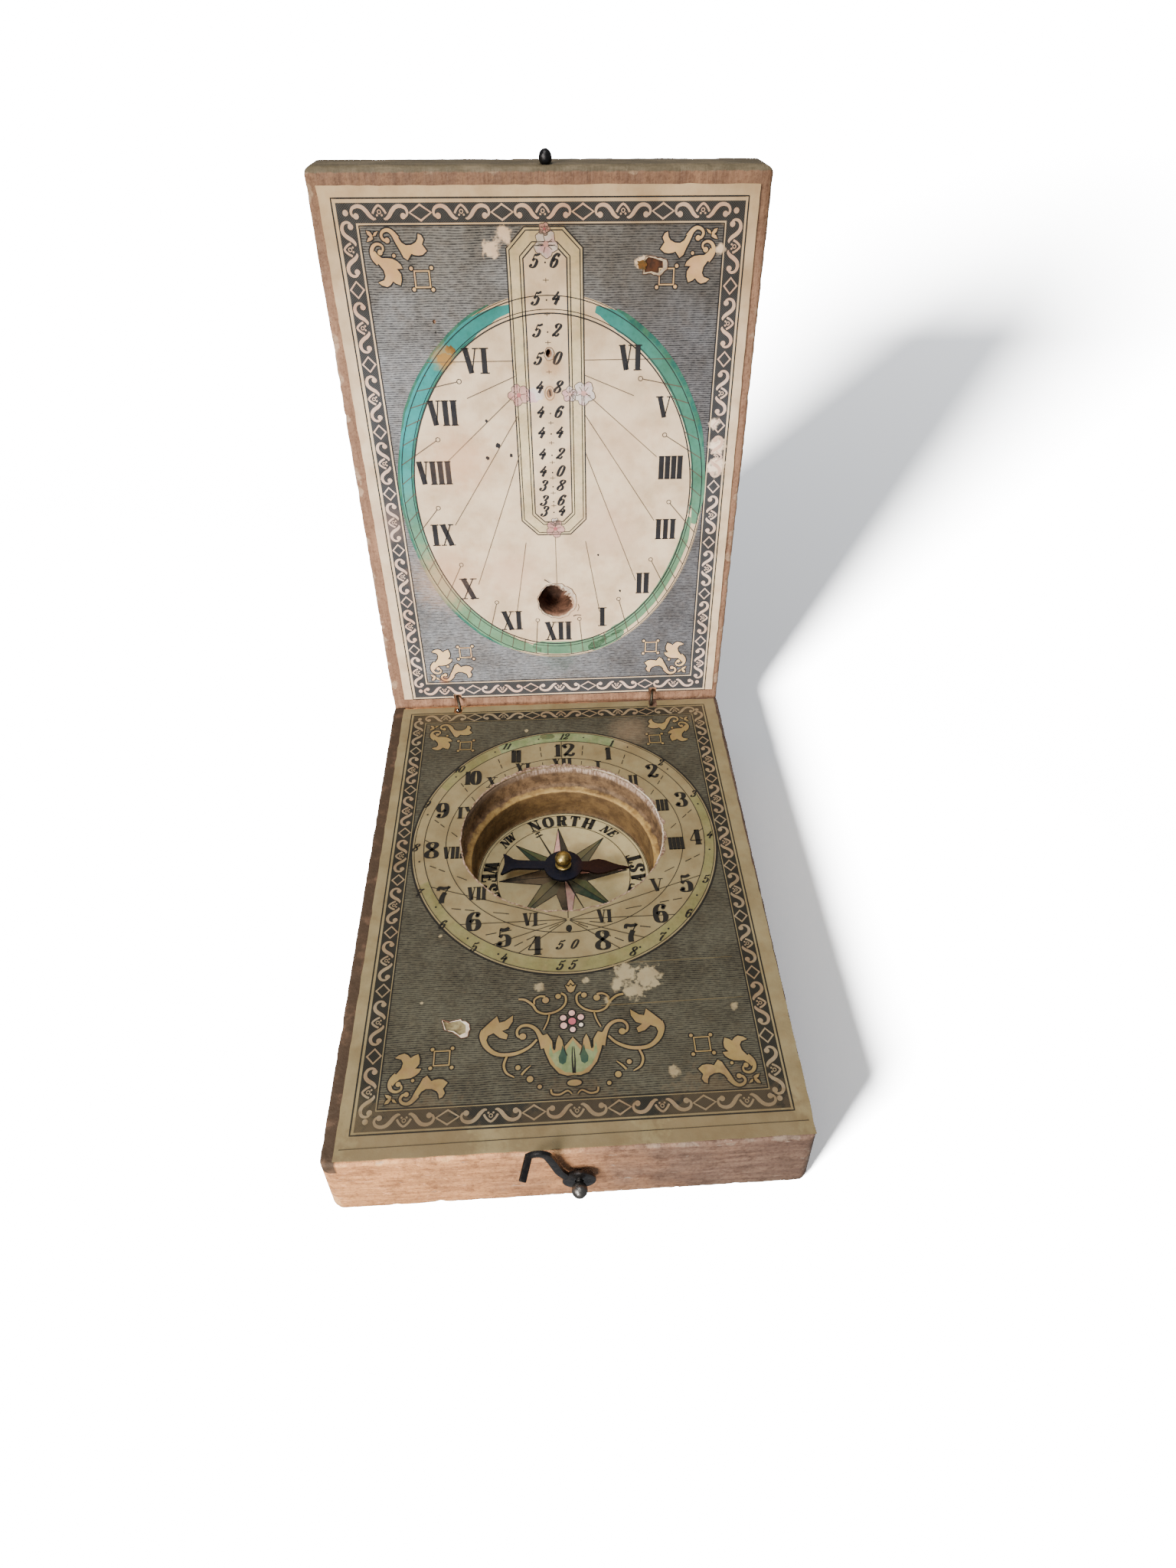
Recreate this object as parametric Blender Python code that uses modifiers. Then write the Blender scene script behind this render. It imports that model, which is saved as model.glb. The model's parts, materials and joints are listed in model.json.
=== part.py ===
"""A folding pocket sundial.

Two wooden leaves are joined by two wire rings. Each leaf is lined with a printed paper dial. The base leaf
holds a compass in a stepped well, and the lid leaf has a recess for a plumb bob and holes for the shadow
string. A hook on the base's front edge catches a stud on the lid's far edge when the dial is shut.

The dial stands on z = 0 with the base leaf centred on the origin, the hinge at +Y and the hook at -Y.
The lid's pieces are modelled as they lie when shut, under an empty on the hinge axis that opens them.
"""

from math import atan2, cos, hypot, pi, radians, sin

import bmesh
import bpy
from mathutils import Matrix, Vector

MM = 0.001

# Leaves
LEAF_WIDTH = 66.0 * MM
LEAF_LENGTH = 93.0 * MM
BASE_THICKNESS = 14.4 * MM
LID_THICKNESS = 8.0 * MM
BASE_ROUNDING = 2.0 * MM
LID_ROUNDING = 1.4 * MM
ARRIS = 0.3 * MM

# Papers: the gap is between a paper and what it is glued to
PAPER = 0.2 * MM
PAPER_GAP = 0.1 * MM
PAPER_SIDE_MARGIN = 1.4 * MM
BASE_PAPER_FRONT_MARGIN = 0.3 * MM
BASE_PAPER_BACK_MARGIN = 0.6 * MM
LID_PAPER_END_MARGIN = 1.6 * MM
LEAF_GAP = 0.3 * MM

# Hinge
OPEN_ANGLE = radians(93.2)
RING_X = (-20.4 * MM, 19.8 * MM)
RING_NAMES = ("hinge_ring_left", "hinge_ring_right")
RING_RADIUS = 1.75 * MM
RING_WIRE = 0.42 * MM
RING_PLAY = 0.18 * MM
RING_NOTCH = 1.7 * MM

# Compass well, measured down from the base paper's top
RIM_RADIUS = 18.0 * MM
LEDGE_RADIUS = 16.4 * MM
LEDGE_DEPTH = 4.9 * MM
CARD_DEPTH = 10.7 * MM
CARD_RADIUS = 15.9 * MM
WELL_FROM_HINGE = 37.75 * MM
PAPER_HOLE_RADIUS = 18.3 * MM
PAPER_HOLE_RAGGEDNESS = 0.14 * MM

# Needle, cap and pivot
NEEDLE_DEPTH = 7.9 * MM
NEEDLE_THICKNESS = 0.5 * MM
NEEDLE_TURN = radians(-5.0)
HUB_RADIUS = 3.5 * MM
HUB_HOLE = 1.2 * MM
CAP_BALL = 1.5 * MM
CAP_BALL_RISE = 1.9 * MM
CAP_STEM = 1.1 * MM
CAP_STEM_BELOW_NEEDLE = 0.2 * MM
CAP_COLLAR = 1.45 * MM
CAP_COLLAR_HEIGHT = 0.25 * MM
CAP_BEARING = 0.75 * MM
CAP_BEARING_TOP = 1.15 * MM
PIVOT_RADIUS = 0.35 * MM
PIVOT_IN_WOOD = 2.5 * MM
PIVOT_ABOVE_NEEDLE = 0.9 * MM
PIVOT_POINT = 1.2 * MM
PIVOT_BLUNT = 0.06 * MM

# String and plumb bob
STRING_HOLE = 0.6 * MM
STRING_X = 0.5 * MM
BASE_STRING_FROM_HINGE = 57.4 * MM
LID_STRING_FROM_HINGE = 68.4 * MM
SHALLOW_HOLE_FROM_HINGE = 62.4 * MM
SHALLOW_HOLE_DEPTH = 1.2 * MM
BOB_RADIUS = 3.35 * MM
BOB_X = 0.6 * MM
BOB_FROM_HINGE = 23.9 * MM
BOB_DEPTH = 6.2 * MM

# Latch
PIN_X = 0.6 * MM
PIN_Z = 7.95 * MM
PIN_SHAFT = 0.45 * MM
PIN_BALL = 1.1 * MM
PIN_IN_WOOD = 5.0 * MM
HOOK_STANDOFF = 0.7 * MM
HOOK_THICKNESS = 0.5 * MM
HOOK_EYE = 2.3 * MM
HOOK_EYE_HOLE = 0.62 * MM
HOOK_WIDTH_AT_EYE = 1.2 * MM
HOOK_WIDTH_AT_TIP = 0.85 * MM
HOOK_LEAN = radians(36.7)
BEND_RADIUS = 1.5 * MM
BEND_START = radians(-12)
BEND_END = radians(102)
TAB_WIDTH = 1.0 * MM
TAB_LENGTH = 3.1 * MM
TAB_LEAN = radians(24.5)
TAB_EASING = 0.12 * MM
STUD_X = 1.25 * MM
STUD_FROM_INNER_FACE = 1.6 * MM
STUD_NECK = 0.6 * MM
STUD_NECK_LENGTH = 0.2 * MM
STUD_HEAD = 1.06 * MM
STUD_HEAD_LENGTH = 2.05 * MM
STUD_IN_WOOD = 5.0 * MM
NAIL_POINT = 1.0 * MM

FIT = 0.1 * MM
CUTTER_OVERRUN = 1.0 * MM
SHARP_CORNER = radians(60)

# Levels and places that follow from the sizes above
BASE_PAPER_TOP = BASE_THICKNESS + PAPER_GAP + PAPER
HINGE_Y = LEAF_LENGTH / 2 + LEAF_GAP / 2
HINGE_Z = BASE_PAPER_TOP + LEAF_GAP / 2
WELL_Y = HINGE_Y - WELL_FROM_HINGE
CARD_TOP = BASE_PAPER_TOP - CARD_DEPTH
WELL_FLOOR = CARD_TOP - PAPER - PAPER_GAP
NEEDLE_Z = BASE_PAPER_TOP - NEEDLE_DEPTH
LID_BACK = -LEAF_GAP / 2
LID_INNER = LEAF_GAP / 2 + PAPER + PAPER_GAP
LID_END = LID_BACK - LEAF_LENGTH
STUD_Z = LID_INNER + STUD_FROM_INNER_FACE
HOOK_REACH = hypot(STUD_X - PIN_X, HINGE_Z + STUD_Z - PIN_Z)


def empty_scene():
    for thing in list(bpy.data.objects):
        bpy.data.objects.remove(thing, do_unlink=True)


def new_collection(name, hidden=False):
    made = bpy.data.collections.new(name)
    bpy.context.scene.collection.children.link(made)
    made.hide_render = hidden
    return made


def new_material(name, colour, roughness, metallic=0.0):
    made = bpy.data.materials.new(name)
    made.use_nodes = True
    shader = made.node_tree.nodes["Principled BSDF"]
    shader.inputs["Base Color"].default_value = (*colour, 1.0)
    shader.inputs["Roughness"].default_value = roughness
    shader.inputs["Metallic"].default_value = metallic
    return made


def new_part(name, data, material, parent=None, location=(0, 0, 0), rotation=(0, 0, 0)):
    data.materials.append(material)
    made = bpy.data.objects.new(name, data)
    made.parent = parent
    made.location = location
    made.rotation_euler = rotation
    PARTS.objects.link(made)
    return made


def new_cutter(name, mesh, parent=None):
    made = bpy.data.objects.new(name, mesh)
    made.parent = parent
    made.display_type = "WIRE"
    made.hide_render = True
    CUTTERS.objects.link(made)
    return made


def mesh_from(name, bm):
    bmesh.ops.recalc_face_normals(bm, faces=bm.faces)
    mesh = bpy.data.meshes.new(name)
    bm.to_mesh(mesh)
    bm.free()
    return mesh


def box_bm(low, high):
    low, high = Vector(low), Vector(high)
    place = Matrix.Translation((low + high) / 2) @ Matrix.Diagonal((*(high - low), 1.0))
    bm = bmesh.new()
    bmesh.ops.create_cube(bm, size=1.0, matrix=place)
    return bm


def rod_mesh(name, radius, start, end, segments=32):
    """A cylinder from start to end."""
    start, end = Vector(start), Vector(end)
    along = end - start
    turn = along.to_track_quat("Z", "Y").to_matrix().to_4x4()
    bm = bmesh.new()
    bmesh.ops.create_cone(
        bm, cap_ends=True, segments=segments, radius1=radius, radius2=radius, depth=along.length,
        matrix=Matrix.Translation((start + end) / 2) @ turn,
    )
    return mesh_from(name, bm)


def boolean(target, tool, operation="DIFFERENCE"):
    step = target.modifiers.new(tool.name, "BOOLEAN")
    step.operation = operation
    step.object = tool
    step.solver = "EXACT"


def outline_curve(name, outlines, thickness):
    """A flat sheet in XY with the given outlines. The first is its edge, and any others are holes."""
    curve = bpy.data.curves.new(name, "CURVE")
    curve.dimensions = "2D"
    curve.fill_mode = "BOTH"
    curve.extrude = thickness / 2
    for outline in outlines:
        spline = curve.splines.new("POLY")
        spline.points.add(len(outline) - 1)
        for point, (x, y) in zip(spline.points, outline):
            point.co = (x, y, 0.0, 1.0)
        spline.use_cyclic_u = True
    return curve


def solid_from_curve(curve):
    """The curve's mesh with its caps welded on, ready for a Boolean."""
    source = bpy.data.objects.new(curve.name, curve)
    bpy.context.scene.collection.objects.link(source)
    bpy.context.view_layer.update()
    evaluated = source.evaluated_get(bpy.context.evaluated_depsgraph_get())
    bm = bmesh.new()
    bm.from_mesh(bpy.data.meshes.new_from_object(evaluated))
    bmesh.ops.remove_doubles(bm, verts=bm.verts, dist=0.001 * MM)
    name = curve.name
    bpy.data.objects.remove(source, do_unlink=True)
    return mesh_from(name, bm)


def turned_mesh(name, profile):
    """The open profile of a turned solid, as (radius, height) from its top to its foot, both on the axis."""
    mesh = bpy.data.meshes.new(name)
    points = [(radius, 0.0, height) for radius, height in profile]
    mesh.from_pydata(points, [(i, i + 1) for i in range(len(points) - 1)], [])
    return mesh


def spin(thing, steps=32):
    screw = thing.modifiers.new("turn", "SCREW")
    screw.steps = steps
    screw.render_steps = steps
    screw.use_merge_vertices = True
    screw.merge_threshold = 0.001 * MM


def circle(radius, centre=(0.0, 0.0), count=32):
    return [
        (centre[0] + radius * cos(2 * pi * i / count), centre[1] + radius * sin(2 * pi * i / count))
        for i in range(count)
    ]


def leaf_bm(low, high, outer_z, rounding):
    """A block with its two long outer edges rounded and every other edge slightly eased."""
    bm = box_bm(low, high)
    long_outer = [
        edge for edge in bm.edges
        if all(abs(v.co.z - outer_z) < ARRIS for v in edge.verts)
        and abs(edge.verts[0].co.x - edge.verts[1].co.x) < ARRIS
    ]
    bmesh.ops.bevel(bm, geom=long_outer, offset=rounding, segments=6, profile=0.5, affect="EDGES")
    sharp = [edge for edge in bm.edges if edge.calc_face_angle() > SHARP_CORNER]
    bmesh.ops.bevel(bm, geom=sharp, offset=ARRIS, segments=2, profile=0.5, affect="EDGES")
    return bm


def torus_mesh(wire, around_wire):
    """A ring of the hinge's radius, flat in XY."""
    bpy.ops.mesh.primitive_torus_add(
        major_radius=RING_RADIUS, minor_radius=wire, major_segments=48, minor_segments=around_wire,
    )
    torus = bpy.context.object
    mesh = torus.data
    bpy.data.objects.remove(torus, do_unlink=True)
    return mesh


def ring_cutters(parent, centre):
    """Curved borings for the two hinge rings, round the hinge axis."""
    cutters = []
    for side, x in zip(("left", "right"), RING_X):
        mesh = torus_mesh(RING_WIRE + RING_PLAY, 16)
        mesh.transform(Matrix.Translation((x, *centre)) @ Matrix.Rotation(pi / 2, 4, "Y"))
        cutters.append(new_cutter(f"{side}_ring_boring_{'lid' if parent else 'base'}", mesh, parent))
    return cutters


def notched_sheet(left, right, near_hinge, far, hinge_y):
    """A paper's rectangular edge, notched round each hinge ring. The hinge side is at larger y."""
    notch_end = hinge_y - RING_RADIUS - RING_WIRE - 2 * RING_PLAY
    outline = [(left, far), (right, far), (right, near_hinge)]
    for x in reversed(RING_X):
        outline += [
            (x + RING_NOTCH / 2, near_hinge), (x + RING_NOTCH / 2, notch_end),
            (x - RING_NOTCH / 2, notch_end), (x - RING_NOTCH / 2, near_hinge),
        ]
    return outline + [(left, near_hinge)]


def ragged_circle(radius, centre):
    """A torn round edge: a few waves of unlike length, so that it never repeats."""
    points = []
    count = 120
    for i in range(count):
        turn = 2 * pi * i / count
        tear = PAPER_HOLE_RAGGEDNESS * (sin(7 * turn + 1.0) + 0.6 * sin(17 * turn) + 0.4 * cos(29 * turn))
        points.append((centre[0] + (radius + tear) * cos(turn), centre[1] + (radius + tear) * sin(turn)))
    return points


def make_base_leaf():
    half_w, half_l = LEAF_WIDTH / 2, LEAF_LENGTH / 2
    bm = leaf_bm((-half_w, -half_l, 0), (half_w, half_l, BASE_THICKNESS), 0.0, BASE_ROUNDING)
    leaf = new_part("base_leaf", mesh_from("base_leaf", bm), WOOD)
    above = BASE_THICKNESS + CUTTER_OVERRUN
    string_y = HINGE_Y - BASE_STRING_FROM_HINGE
    ledge = BASE_PAPER_TOP - LEDGE_DEPTH
    borings = [
        ("glass_seat", RIM_RADIUS, (0, WELL_Y, ledge), (0, WELL_Y, above), 96),
        ("needle_chamber", LEDGE_RADIUS, (0, WELL_Y, WELL_FLOOR), (0, WELL_Y, above), 96),
        ("pivot_hole", PIVOT_RADIUS + FIT, (0, WELL_Y, WELL_FLOOR - PIVOT_IN_WOOD - FIT),
         (0, WELL_Y, above), 16),
        ("string_hole_base", STRING_HOLE, (STRING_X, string_y, -CUTTER_OVERRUN),
         (STRING_X, string_y, above), 24),
        ("pin_hole", PIN_SHAFT + FIT, (PIN_X, -half_l - CUTTER_OVERRUN, PIN_Z),
         (PIN_X, PIN_IN_WOOD - half_l, PIN_Z), 16),
    ]
    for name, radius, start, end, segments in borings:
        boolean(leaf, new_cutter(name, rod_mesh(name, radius, start, end, segments)))
    for cutter in ring_cutters(None, (HINGE_Y, HINGE_Z)):
        boolean(leaf, cutter)


def make_base_paper():
    left = -LEAF_WIDTH / 2 + PAPER_SIDE_MARGIN
    right = LEAF_WIDTH / 2 - PAPER_SIDE_MARGIN / 2
    back = LEAF_LENGTH / 2 - BASE_PAPER_BACK_MARGIN
    front = -LEAF_LENGTH / 2 + BASE_PAPER_FRONT_MARGIN
    outlines = [
        notched_sheet(left, right, back, front, HINGE_Y),
        ragged_circle(PAPER_HOLE_RADIUS, (0.0, WELL_Y)),
    ]
    curve = outline_curve("base_dial_paper", outlines, PAPER)
    sheet = new_part("base_dial_paper", solid_from_curve(curve), PRINTED_PAPER,
                     location=(0, 0, BASE_PAPER_TOP - PAPER / 2))
    string_y = HINGE_Y - BASE_STRING_FROM_HINGE
    hole = rod_mesh("paper_string_hole", STRING_HOLE + FIT,
                    (STRING_X, string_y, BASE_THICKNESS - CUTTER_OVERRUN),
                    (STRING_X, string_y, BASE_THICKNESS + CUTTER_OVERRUN), 24)
    boolean(sheet, new_cutter("paper_string_hole", hole))


def make_compass_card():
    outlines = [circle(CARD_RADIUS, count=96), circle(PIVOT_RADIUS + FIT, count=16)]
    curve = outline_curve("compass_card", outlines, PAPER)
    new_part("compass_card", curve, PRINTED_PAPER, location=(0, WELL_Y, CARD_TOP - PAPER / 2))


def make_pivot():
    foot = WELL_FLOOR - PIVOT_IN_WOOD
    tip = NEEDLE_Z + PIVOT_ABOVE_NEEDLE
    profile = [(0.0, tip), (PIVOT_BLUNT, tip - PIVOT_BLUNT), (PIVOT_RADIUS, tip - PIVOT_POINT),
               (PIVOT_RADIUS, foot), (0.0, foot)]
    pivot = new_part("compass_pivot", turned_mesh("compass_pivot", profile), STEEL, location=(0, WELL_Y, 0))
    spin(pivot, 16)


def needle_outline():
    """Fishtail at -X, round hub at the origin, spear at +X. The upper edge is mirrored below."""
    hub_start, hub_end = radians(165), radians(17)
    hub = [
        (HUB_RADIUS * cos(hub_start + (hub_end - hub_start) * i / 20),
         HUB_RADIUS * sin(hub_start + (hub_end - hub_start) * i / 20))
        for i in range(21)
    ]
    tail = [(-11.1, 1.9), (-11.3, 2.3), (-10.9, 2.35), (-10.2, 1.9), (-9.3, 1.2), (-8.3, 0.95), (-5.5, 0.95)]
    spear = [(4.6, 1.1), (5.4, 1.5), (6.4, 1.7), (7.6, 1.45), (9.0, 0.85), (10.2, 0.4), (11.4, 0.2)]
    upper = [(x * MM, y * MM) for x, y in tail] + hub + [(x * MM, y * MM) for x, y in spear]
    lower = [(x, -y) for x, y in reversed(upper)]
    return [(-10.8 * MM, 0.0), *upper, (12.1 * MM, 0.0), *lower]


def make_needle(axis):
    curve = outline_curve("compass_needle", [needle_outline(), circle(HUB_HOLE)], NEEDLE_THICKNESS)
    new_part("compass_needle", curve, BLUED_STEEL, parent=axis)


def make_needle_cap(axis):
    """A ball on a short stem that passes through the hub, hollowed below into a bearing cone."""
    top = NEEDLE_THICKNESS / 2 + FIT
    foot_start = radians(-48)
    ball = [
        (CAP_BALL * cos(pi / 2 + (foot_start - pi / 2) * i / 14),
         CAP_BALL_RISE + CAP_BALL * sin(pi / 2 + (foot_start - pi / 2) * i / 14))
        for i in range(15)
    ]
    ball[0] = (0.0, CAP_BALL_RISE + CAP_BALL)
    collar = [(CAP_COLLAR, top + CAP_COLLAR_HEIGHT), (CAP_COLLAR, top), (CAP_STEM, top)]
    stem_foot = -NEEDLE_THICKNESS / 2 - CAP_STEM_BELOW_NEEDLE
    cone = [(CAP_STEM, stem_foot), (CAP_BEARING, stem_foot), (0.0, CAP_BEARING_TOP)]
    cap = new_part("needle_cap", turned_mesh("needle_cap", ball + collar + cone), BRASS, parent=axis)
    spin(cap)


def make_hinge_rings():
    for name, x in zip(RING_NAMES, RING_X):
        ring = torus_mesh(RING_WIRE, 12)
        new_part(name, ring, IRON, location=(x, HINGE_Y, HINGE_Z), rotation=(0, pi / 2, 0))


def make_hook_pin():
    ball_centre = HOOK_STANDOFF + HOOK_THICKNESS + FIT + PIN_BALL
    neck_turn = -pi / 2 + PIN_SHAFT / PIN_BALL
    ball = [
        (PIN_BALL * cos(pi / 2 + (neck_turn - pi / 2) * i / 14),
         ball_centre + PIN_BALL * sin(pi / 2 + (neck_turn - pi / 2) * i / 14))
        for i in range(15)
    ]
    ball[0] = (0.0, ball_centre + PIN_BALL)
    foot = FIT - PIN_IN_WOOD
    profile = ball + [(PIN_SHAFT, foot + NAIL_POINT), (0.0, foot)]
    pin = new_part("hook_pin", turned_mesh("hook_pin", profile), IRON,
                   location=(PIN_X, -LEAF_LENGTH / 2, PIN_Z), rotation=(pi / 2, 0, 0))
    spin(pin, 24)


def hook_centre_line():
    """From the eye up to the stud's place at (0, HOOK_REACH), over it and part way down its left side."""
    rise = [(-0.45, 1.2), (-0.6, 2.4), (-0.35, 3.9), (0.25, 5.4), (0.85, 6.9)]
    line = [(x * MM, z * MM) for x, z in rise]
    count = 12
    for i in range(count + 1):
        turn = BEND_START + (BEND_END - BEND_START) * i / count
        line.append((BEND_RADIUS * cos(turn), HOOK_REACH + BEND_RADIUS * sin(turn)))
    return line


def ribbon_outline(line, width_at_start, width_at_end):
    """Both sides of a flat strip that follows a line of points."""
    left, right = [], []
    for i, (x, z) in enumerate(line):
        before, after = line[max(i - 1, 0)], line[min(i + 1, len(line) - 1)]
        heading = atan2(after[1] - before[1], after[0] - before[0])
        half = (width_at_start + (width_at_end - width_at_start) * i / (len(line) - 1)) / 2
        left.append((x - half * sin(heading), z + half * cos(heading)))
        right.append((x + half * sin(heading), z - half * cos(heading)))
    return left + right[::-1]


def tab_mesh(tip):
    """The finger tab: the strip's end bent outwards, leaning on along the bend."""
    half_w, half_t = TAB_WIDTH / 2, HOOK_THICKNESS / 2
    bm = box_bm((-half_w, -TAB_LENGTH, -half_t), (half_w, half_t, half_t))
    bmesh.ops.bevel(bm, geom=list(bm.edges), offset=TAB_EASING, segments=2, profile=0.5, affect="EDGES")
    mesh = mesh_from("hook_tab", bm)
    out = Matrix.Rotation(TAB_LEAN - pi / 2, 4, "X")
    aside = Matrix.Rotation(BEND_END - pi, 4, "Z")
    mesh.transform(Matrix.Translation((*tip, 0)) @ aside @ out)
    return mesh


def make_hook(axis):
    """The hook's outline lies in its own XY, which stands up against the base's front face."""
    line = hook_centre_line()
    ribbon = ribbon_outline(line, HOOK_WIDTH_AT_EYE, HOOK_WIDTH_AT_TIP)
    arm = outline_curve("latch_hook", [ribbon], HOOK_THICKNESS)
    hook = new_part("latch_hook", solid_from_curve(arm), IRON, parent=axis)
    half = HOOK_THICKNESS / 2
    through = HOOK_THICKNESS
    eye = new_cutter("hook_eye", rod_mesh("hook_eye", HOOK_EYE, (0, 0, -half), (0, 0, half), 40), axis)
    hole_mesh = rod_mesh("hook_eye_hole", HOOK_EYE_HOLE, (0, 0, -through), (0, 0, through), 24)
    hole = new_cutter("hook_eye_hole", hole_mesh, axis)
    tab = new_cutter("hook_tab", tab_mesh(line[-1]), axis)
    boolean(hook, eye, "UNION")
    boolean(hook, tab, "UNION")
    boolean(hook, hole)


def make_lid_leaf(hinge):
    half_w = LEAF_WIDTH / 2
    outer = LID_INNER + LID_THICKNESS
    bm = leaf_bm((-half_w, LID_END, LID_INNER), (half_w, LID_BACK, outer), outer, LID_ROUNDING)
    leaf = new_part("lid_leaf", mesh_from("lid_leaf", bm), WOOD, parent=hinge)
    below = LID_INNER - CUTTER_OVERRUN
    end_mid = (STUD_X, LID_END, STUD_Z)
    borings = [
        ("bob_recess", BOB_RADIUS, (BOB_X, -BOB_FROM_HINGE, below),
         (BOB_X, -BOB_FROM_HINGE, LID_INNER + BOB_DEPTH), 48),
        ("string_hole_lid", STRING_HOLE, (STRING_X, -LID_STRING_FROM_HINGE, below),
         (STRING_X, -LID_STRING_FROM_HINGE, outer + CUTTER_OVERRUN), 24),
        ("shallow_hole_lid", STRING_HOLE, (STRING_X, -SHALLOW_HOLE_FROM_HINGE, below),
         (STRING_X, -SHALLOW_HOLE_FROM_HINGE, LID_INNER + SHALLOW_HOLE_DEPTH), 24),
        ("stud_hole", STUD_NECK + FIT, Vector(end_mid) + Vector((0, -CUTTER_OVERRUN, 0)),
         Vector(end_mid) + Vector((0, STUD_IN_WOOD, 0)), 16),
    ]
    for name, radius, start, end, segments in borings:
        boolean(leaf, new_cutter(name, rod_mesh(name, radius, start, end, segments), hinge))
    for cutter in ring_cutters(hinge, (0.0, 0.0)):
        boolean(leaf, cutter)


def make_lid_paper(hinge):
    left = -LEAF_WIDTH / 2 + PAPER_SIDE_MARGIN
    right = LEAF_WIDTH / 2 - PAPER_SIDE_MARGIN
    back = LID_BACK - LID_PAPER_END_MARGIN
    far = LID_END + LID_PAPER_END_MARGIN
    outlines = [
        notched_sheet(left, right, back, far, 0.0),
        circle(BOB_RADIUS + FIT, (BOB_X, -BOB_FROM_HINGE), 48),
        circle(STRING_HOLE + FIT, (STRING_X, -LID_STRING_FROM_HINGE), 24),
        circle(STRING_HOLE + FIT, (STRING_X, -SHALLOW_HOLE_FROM_HINGE), 24),
    ]
    curve = outline_curve("lid_dial_paper", outlines, PAPER)
    new_part("lid_dial_paper", curve, PRINTED_PAPER, parent=hinge, location=(0, 0, LEAF_GAP / 2 + PAPER / 2))


def make_catch_stud(hinge):
    """An egg-shaped head close to the lid's far edge, on a shank driven into the wood."""
    head_foot = STUD_NECK_LENGTH
    head = []
    count = 14
    for i in range(count + 1):
        share = i / count
        radius = STUD_HEAD * sin(pi * share) ** 0.8 * (0.78 + 0.22 * share) if 0 < share < 1 else 0.0
        head.append((radius, head_foot + STUD_HEAD_LENGTH * (1 + cos(pi * share)) / 2))
    head[-1] = (STUD_NECK, head_foot)
    foot = FIT - STUD_IN_WOOD
    profile = head + [(STUD_NECK, foot + NAIL_POINT), (0.0, foot)]
    stud = new_part("catch_stud", turned_mesh("catch_stud", profile), IRON, parent=hinge,
                    location=(STUD_X, LID_END, STUD_Z), rotation=(pi / 2, 0, 0))
    spin(stud, 24)


def new_axis(name, location, rotation=(0, 0, 0)):
    made = bpy.data.objects.new(name, None)
    made.empty_display_size = 5 * MM
    made.location = location
    made.rotation_euler = rotation
    PARTS.objects.link(made)
    return made


empty_scene()
PARTS = new_collection("pocket_sundial")
CUTTERS = new_collection("cutters", hidden=True)

WOOD = new_material("wood", (0.36, 0.22, 0.13), 0.6)
PRINTED_PAPER = new_material("printed_paper", (0.52, 0.45, 0.33), 0.85)
IRON = new_material("iron", (0.03, 0.03, 0.035), 0.4, 0.9)
STEEL = new_material("steel", (0.35, 0.35, 0.36), 0.35, 1.0)
BLUED_STEEL = new_material("blued_steel", (0.03, 0.035, 0.07), 0.35, 0.9)
BRASS = new_material("brass", (0.55, 0.42, 0.14), 0.3, 1.0)

lid_hinge = new_axis("lid_hinge", (0, HINGE_Y, HINGE_Z), (-OPEN_ANGLE, 0, 0))
needle_axis = new_axis("needle_axis", (0, WELL_Y, NEEDLE_Z), (0, 0, NEEDLE_TURN))
hook_mid = -LEAF_LENGTH / 2 - HOOK_STANDOFF - HOOK_THICKNESS / 2
hook_axis = new_axis("hook_axis", (PIN_X, hook_mid, PIN_Z), (pi / 2, -HOOK_LEAN, 0))

make_base_leaf()
make_base_paper()
make_compass_card()
make_pivot()
make_needle(needle_axis)
make_needle_cap(needle_axis)
make_hinge_rings()
make_hook_pin()
make_hook(hook_axis)
make_lid_leaf(lid_hinge)
make_lid_paper(lid_hinge)
make_catch_stud(lid_hinge)
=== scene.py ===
"""Looks for the folding pocket sundial: printed papers, worn wood, iron, brass, a white floor and the camera.

Each printed sheet is drawn in its own flat millimetres, x to the right and y up the print, as thin solids
laid one on another: sheet, hatched grounds, light ornaments, colour washes, then ink.
"""

import json
from math import atan2, ceil, cos, hypot, pi, radians, sin

import bmesh
import bpy
from mathutils import Matrix, Vector, noise
from mathutils.geometry import tessellate_polygon


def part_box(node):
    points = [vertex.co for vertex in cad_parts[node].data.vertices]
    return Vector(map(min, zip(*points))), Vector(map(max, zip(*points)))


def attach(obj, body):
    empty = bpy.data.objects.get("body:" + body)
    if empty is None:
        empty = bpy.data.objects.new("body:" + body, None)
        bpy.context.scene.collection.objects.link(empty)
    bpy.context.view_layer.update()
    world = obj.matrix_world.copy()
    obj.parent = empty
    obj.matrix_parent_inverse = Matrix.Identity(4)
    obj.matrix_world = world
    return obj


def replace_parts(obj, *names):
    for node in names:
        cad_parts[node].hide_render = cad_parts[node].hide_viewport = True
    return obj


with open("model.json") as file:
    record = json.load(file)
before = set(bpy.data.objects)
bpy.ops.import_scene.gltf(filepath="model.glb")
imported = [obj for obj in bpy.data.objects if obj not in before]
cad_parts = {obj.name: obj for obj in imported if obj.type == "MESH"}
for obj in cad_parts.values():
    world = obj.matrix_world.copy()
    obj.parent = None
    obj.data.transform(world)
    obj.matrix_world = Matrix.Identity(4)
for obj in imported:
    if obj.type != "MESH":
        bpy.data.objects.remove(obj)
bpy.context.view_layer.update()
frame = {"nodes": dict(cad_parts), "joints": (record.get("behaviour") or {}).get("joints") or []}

MM = 0.001

# ---------------------------------------------------------------- places in the frame

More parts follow.
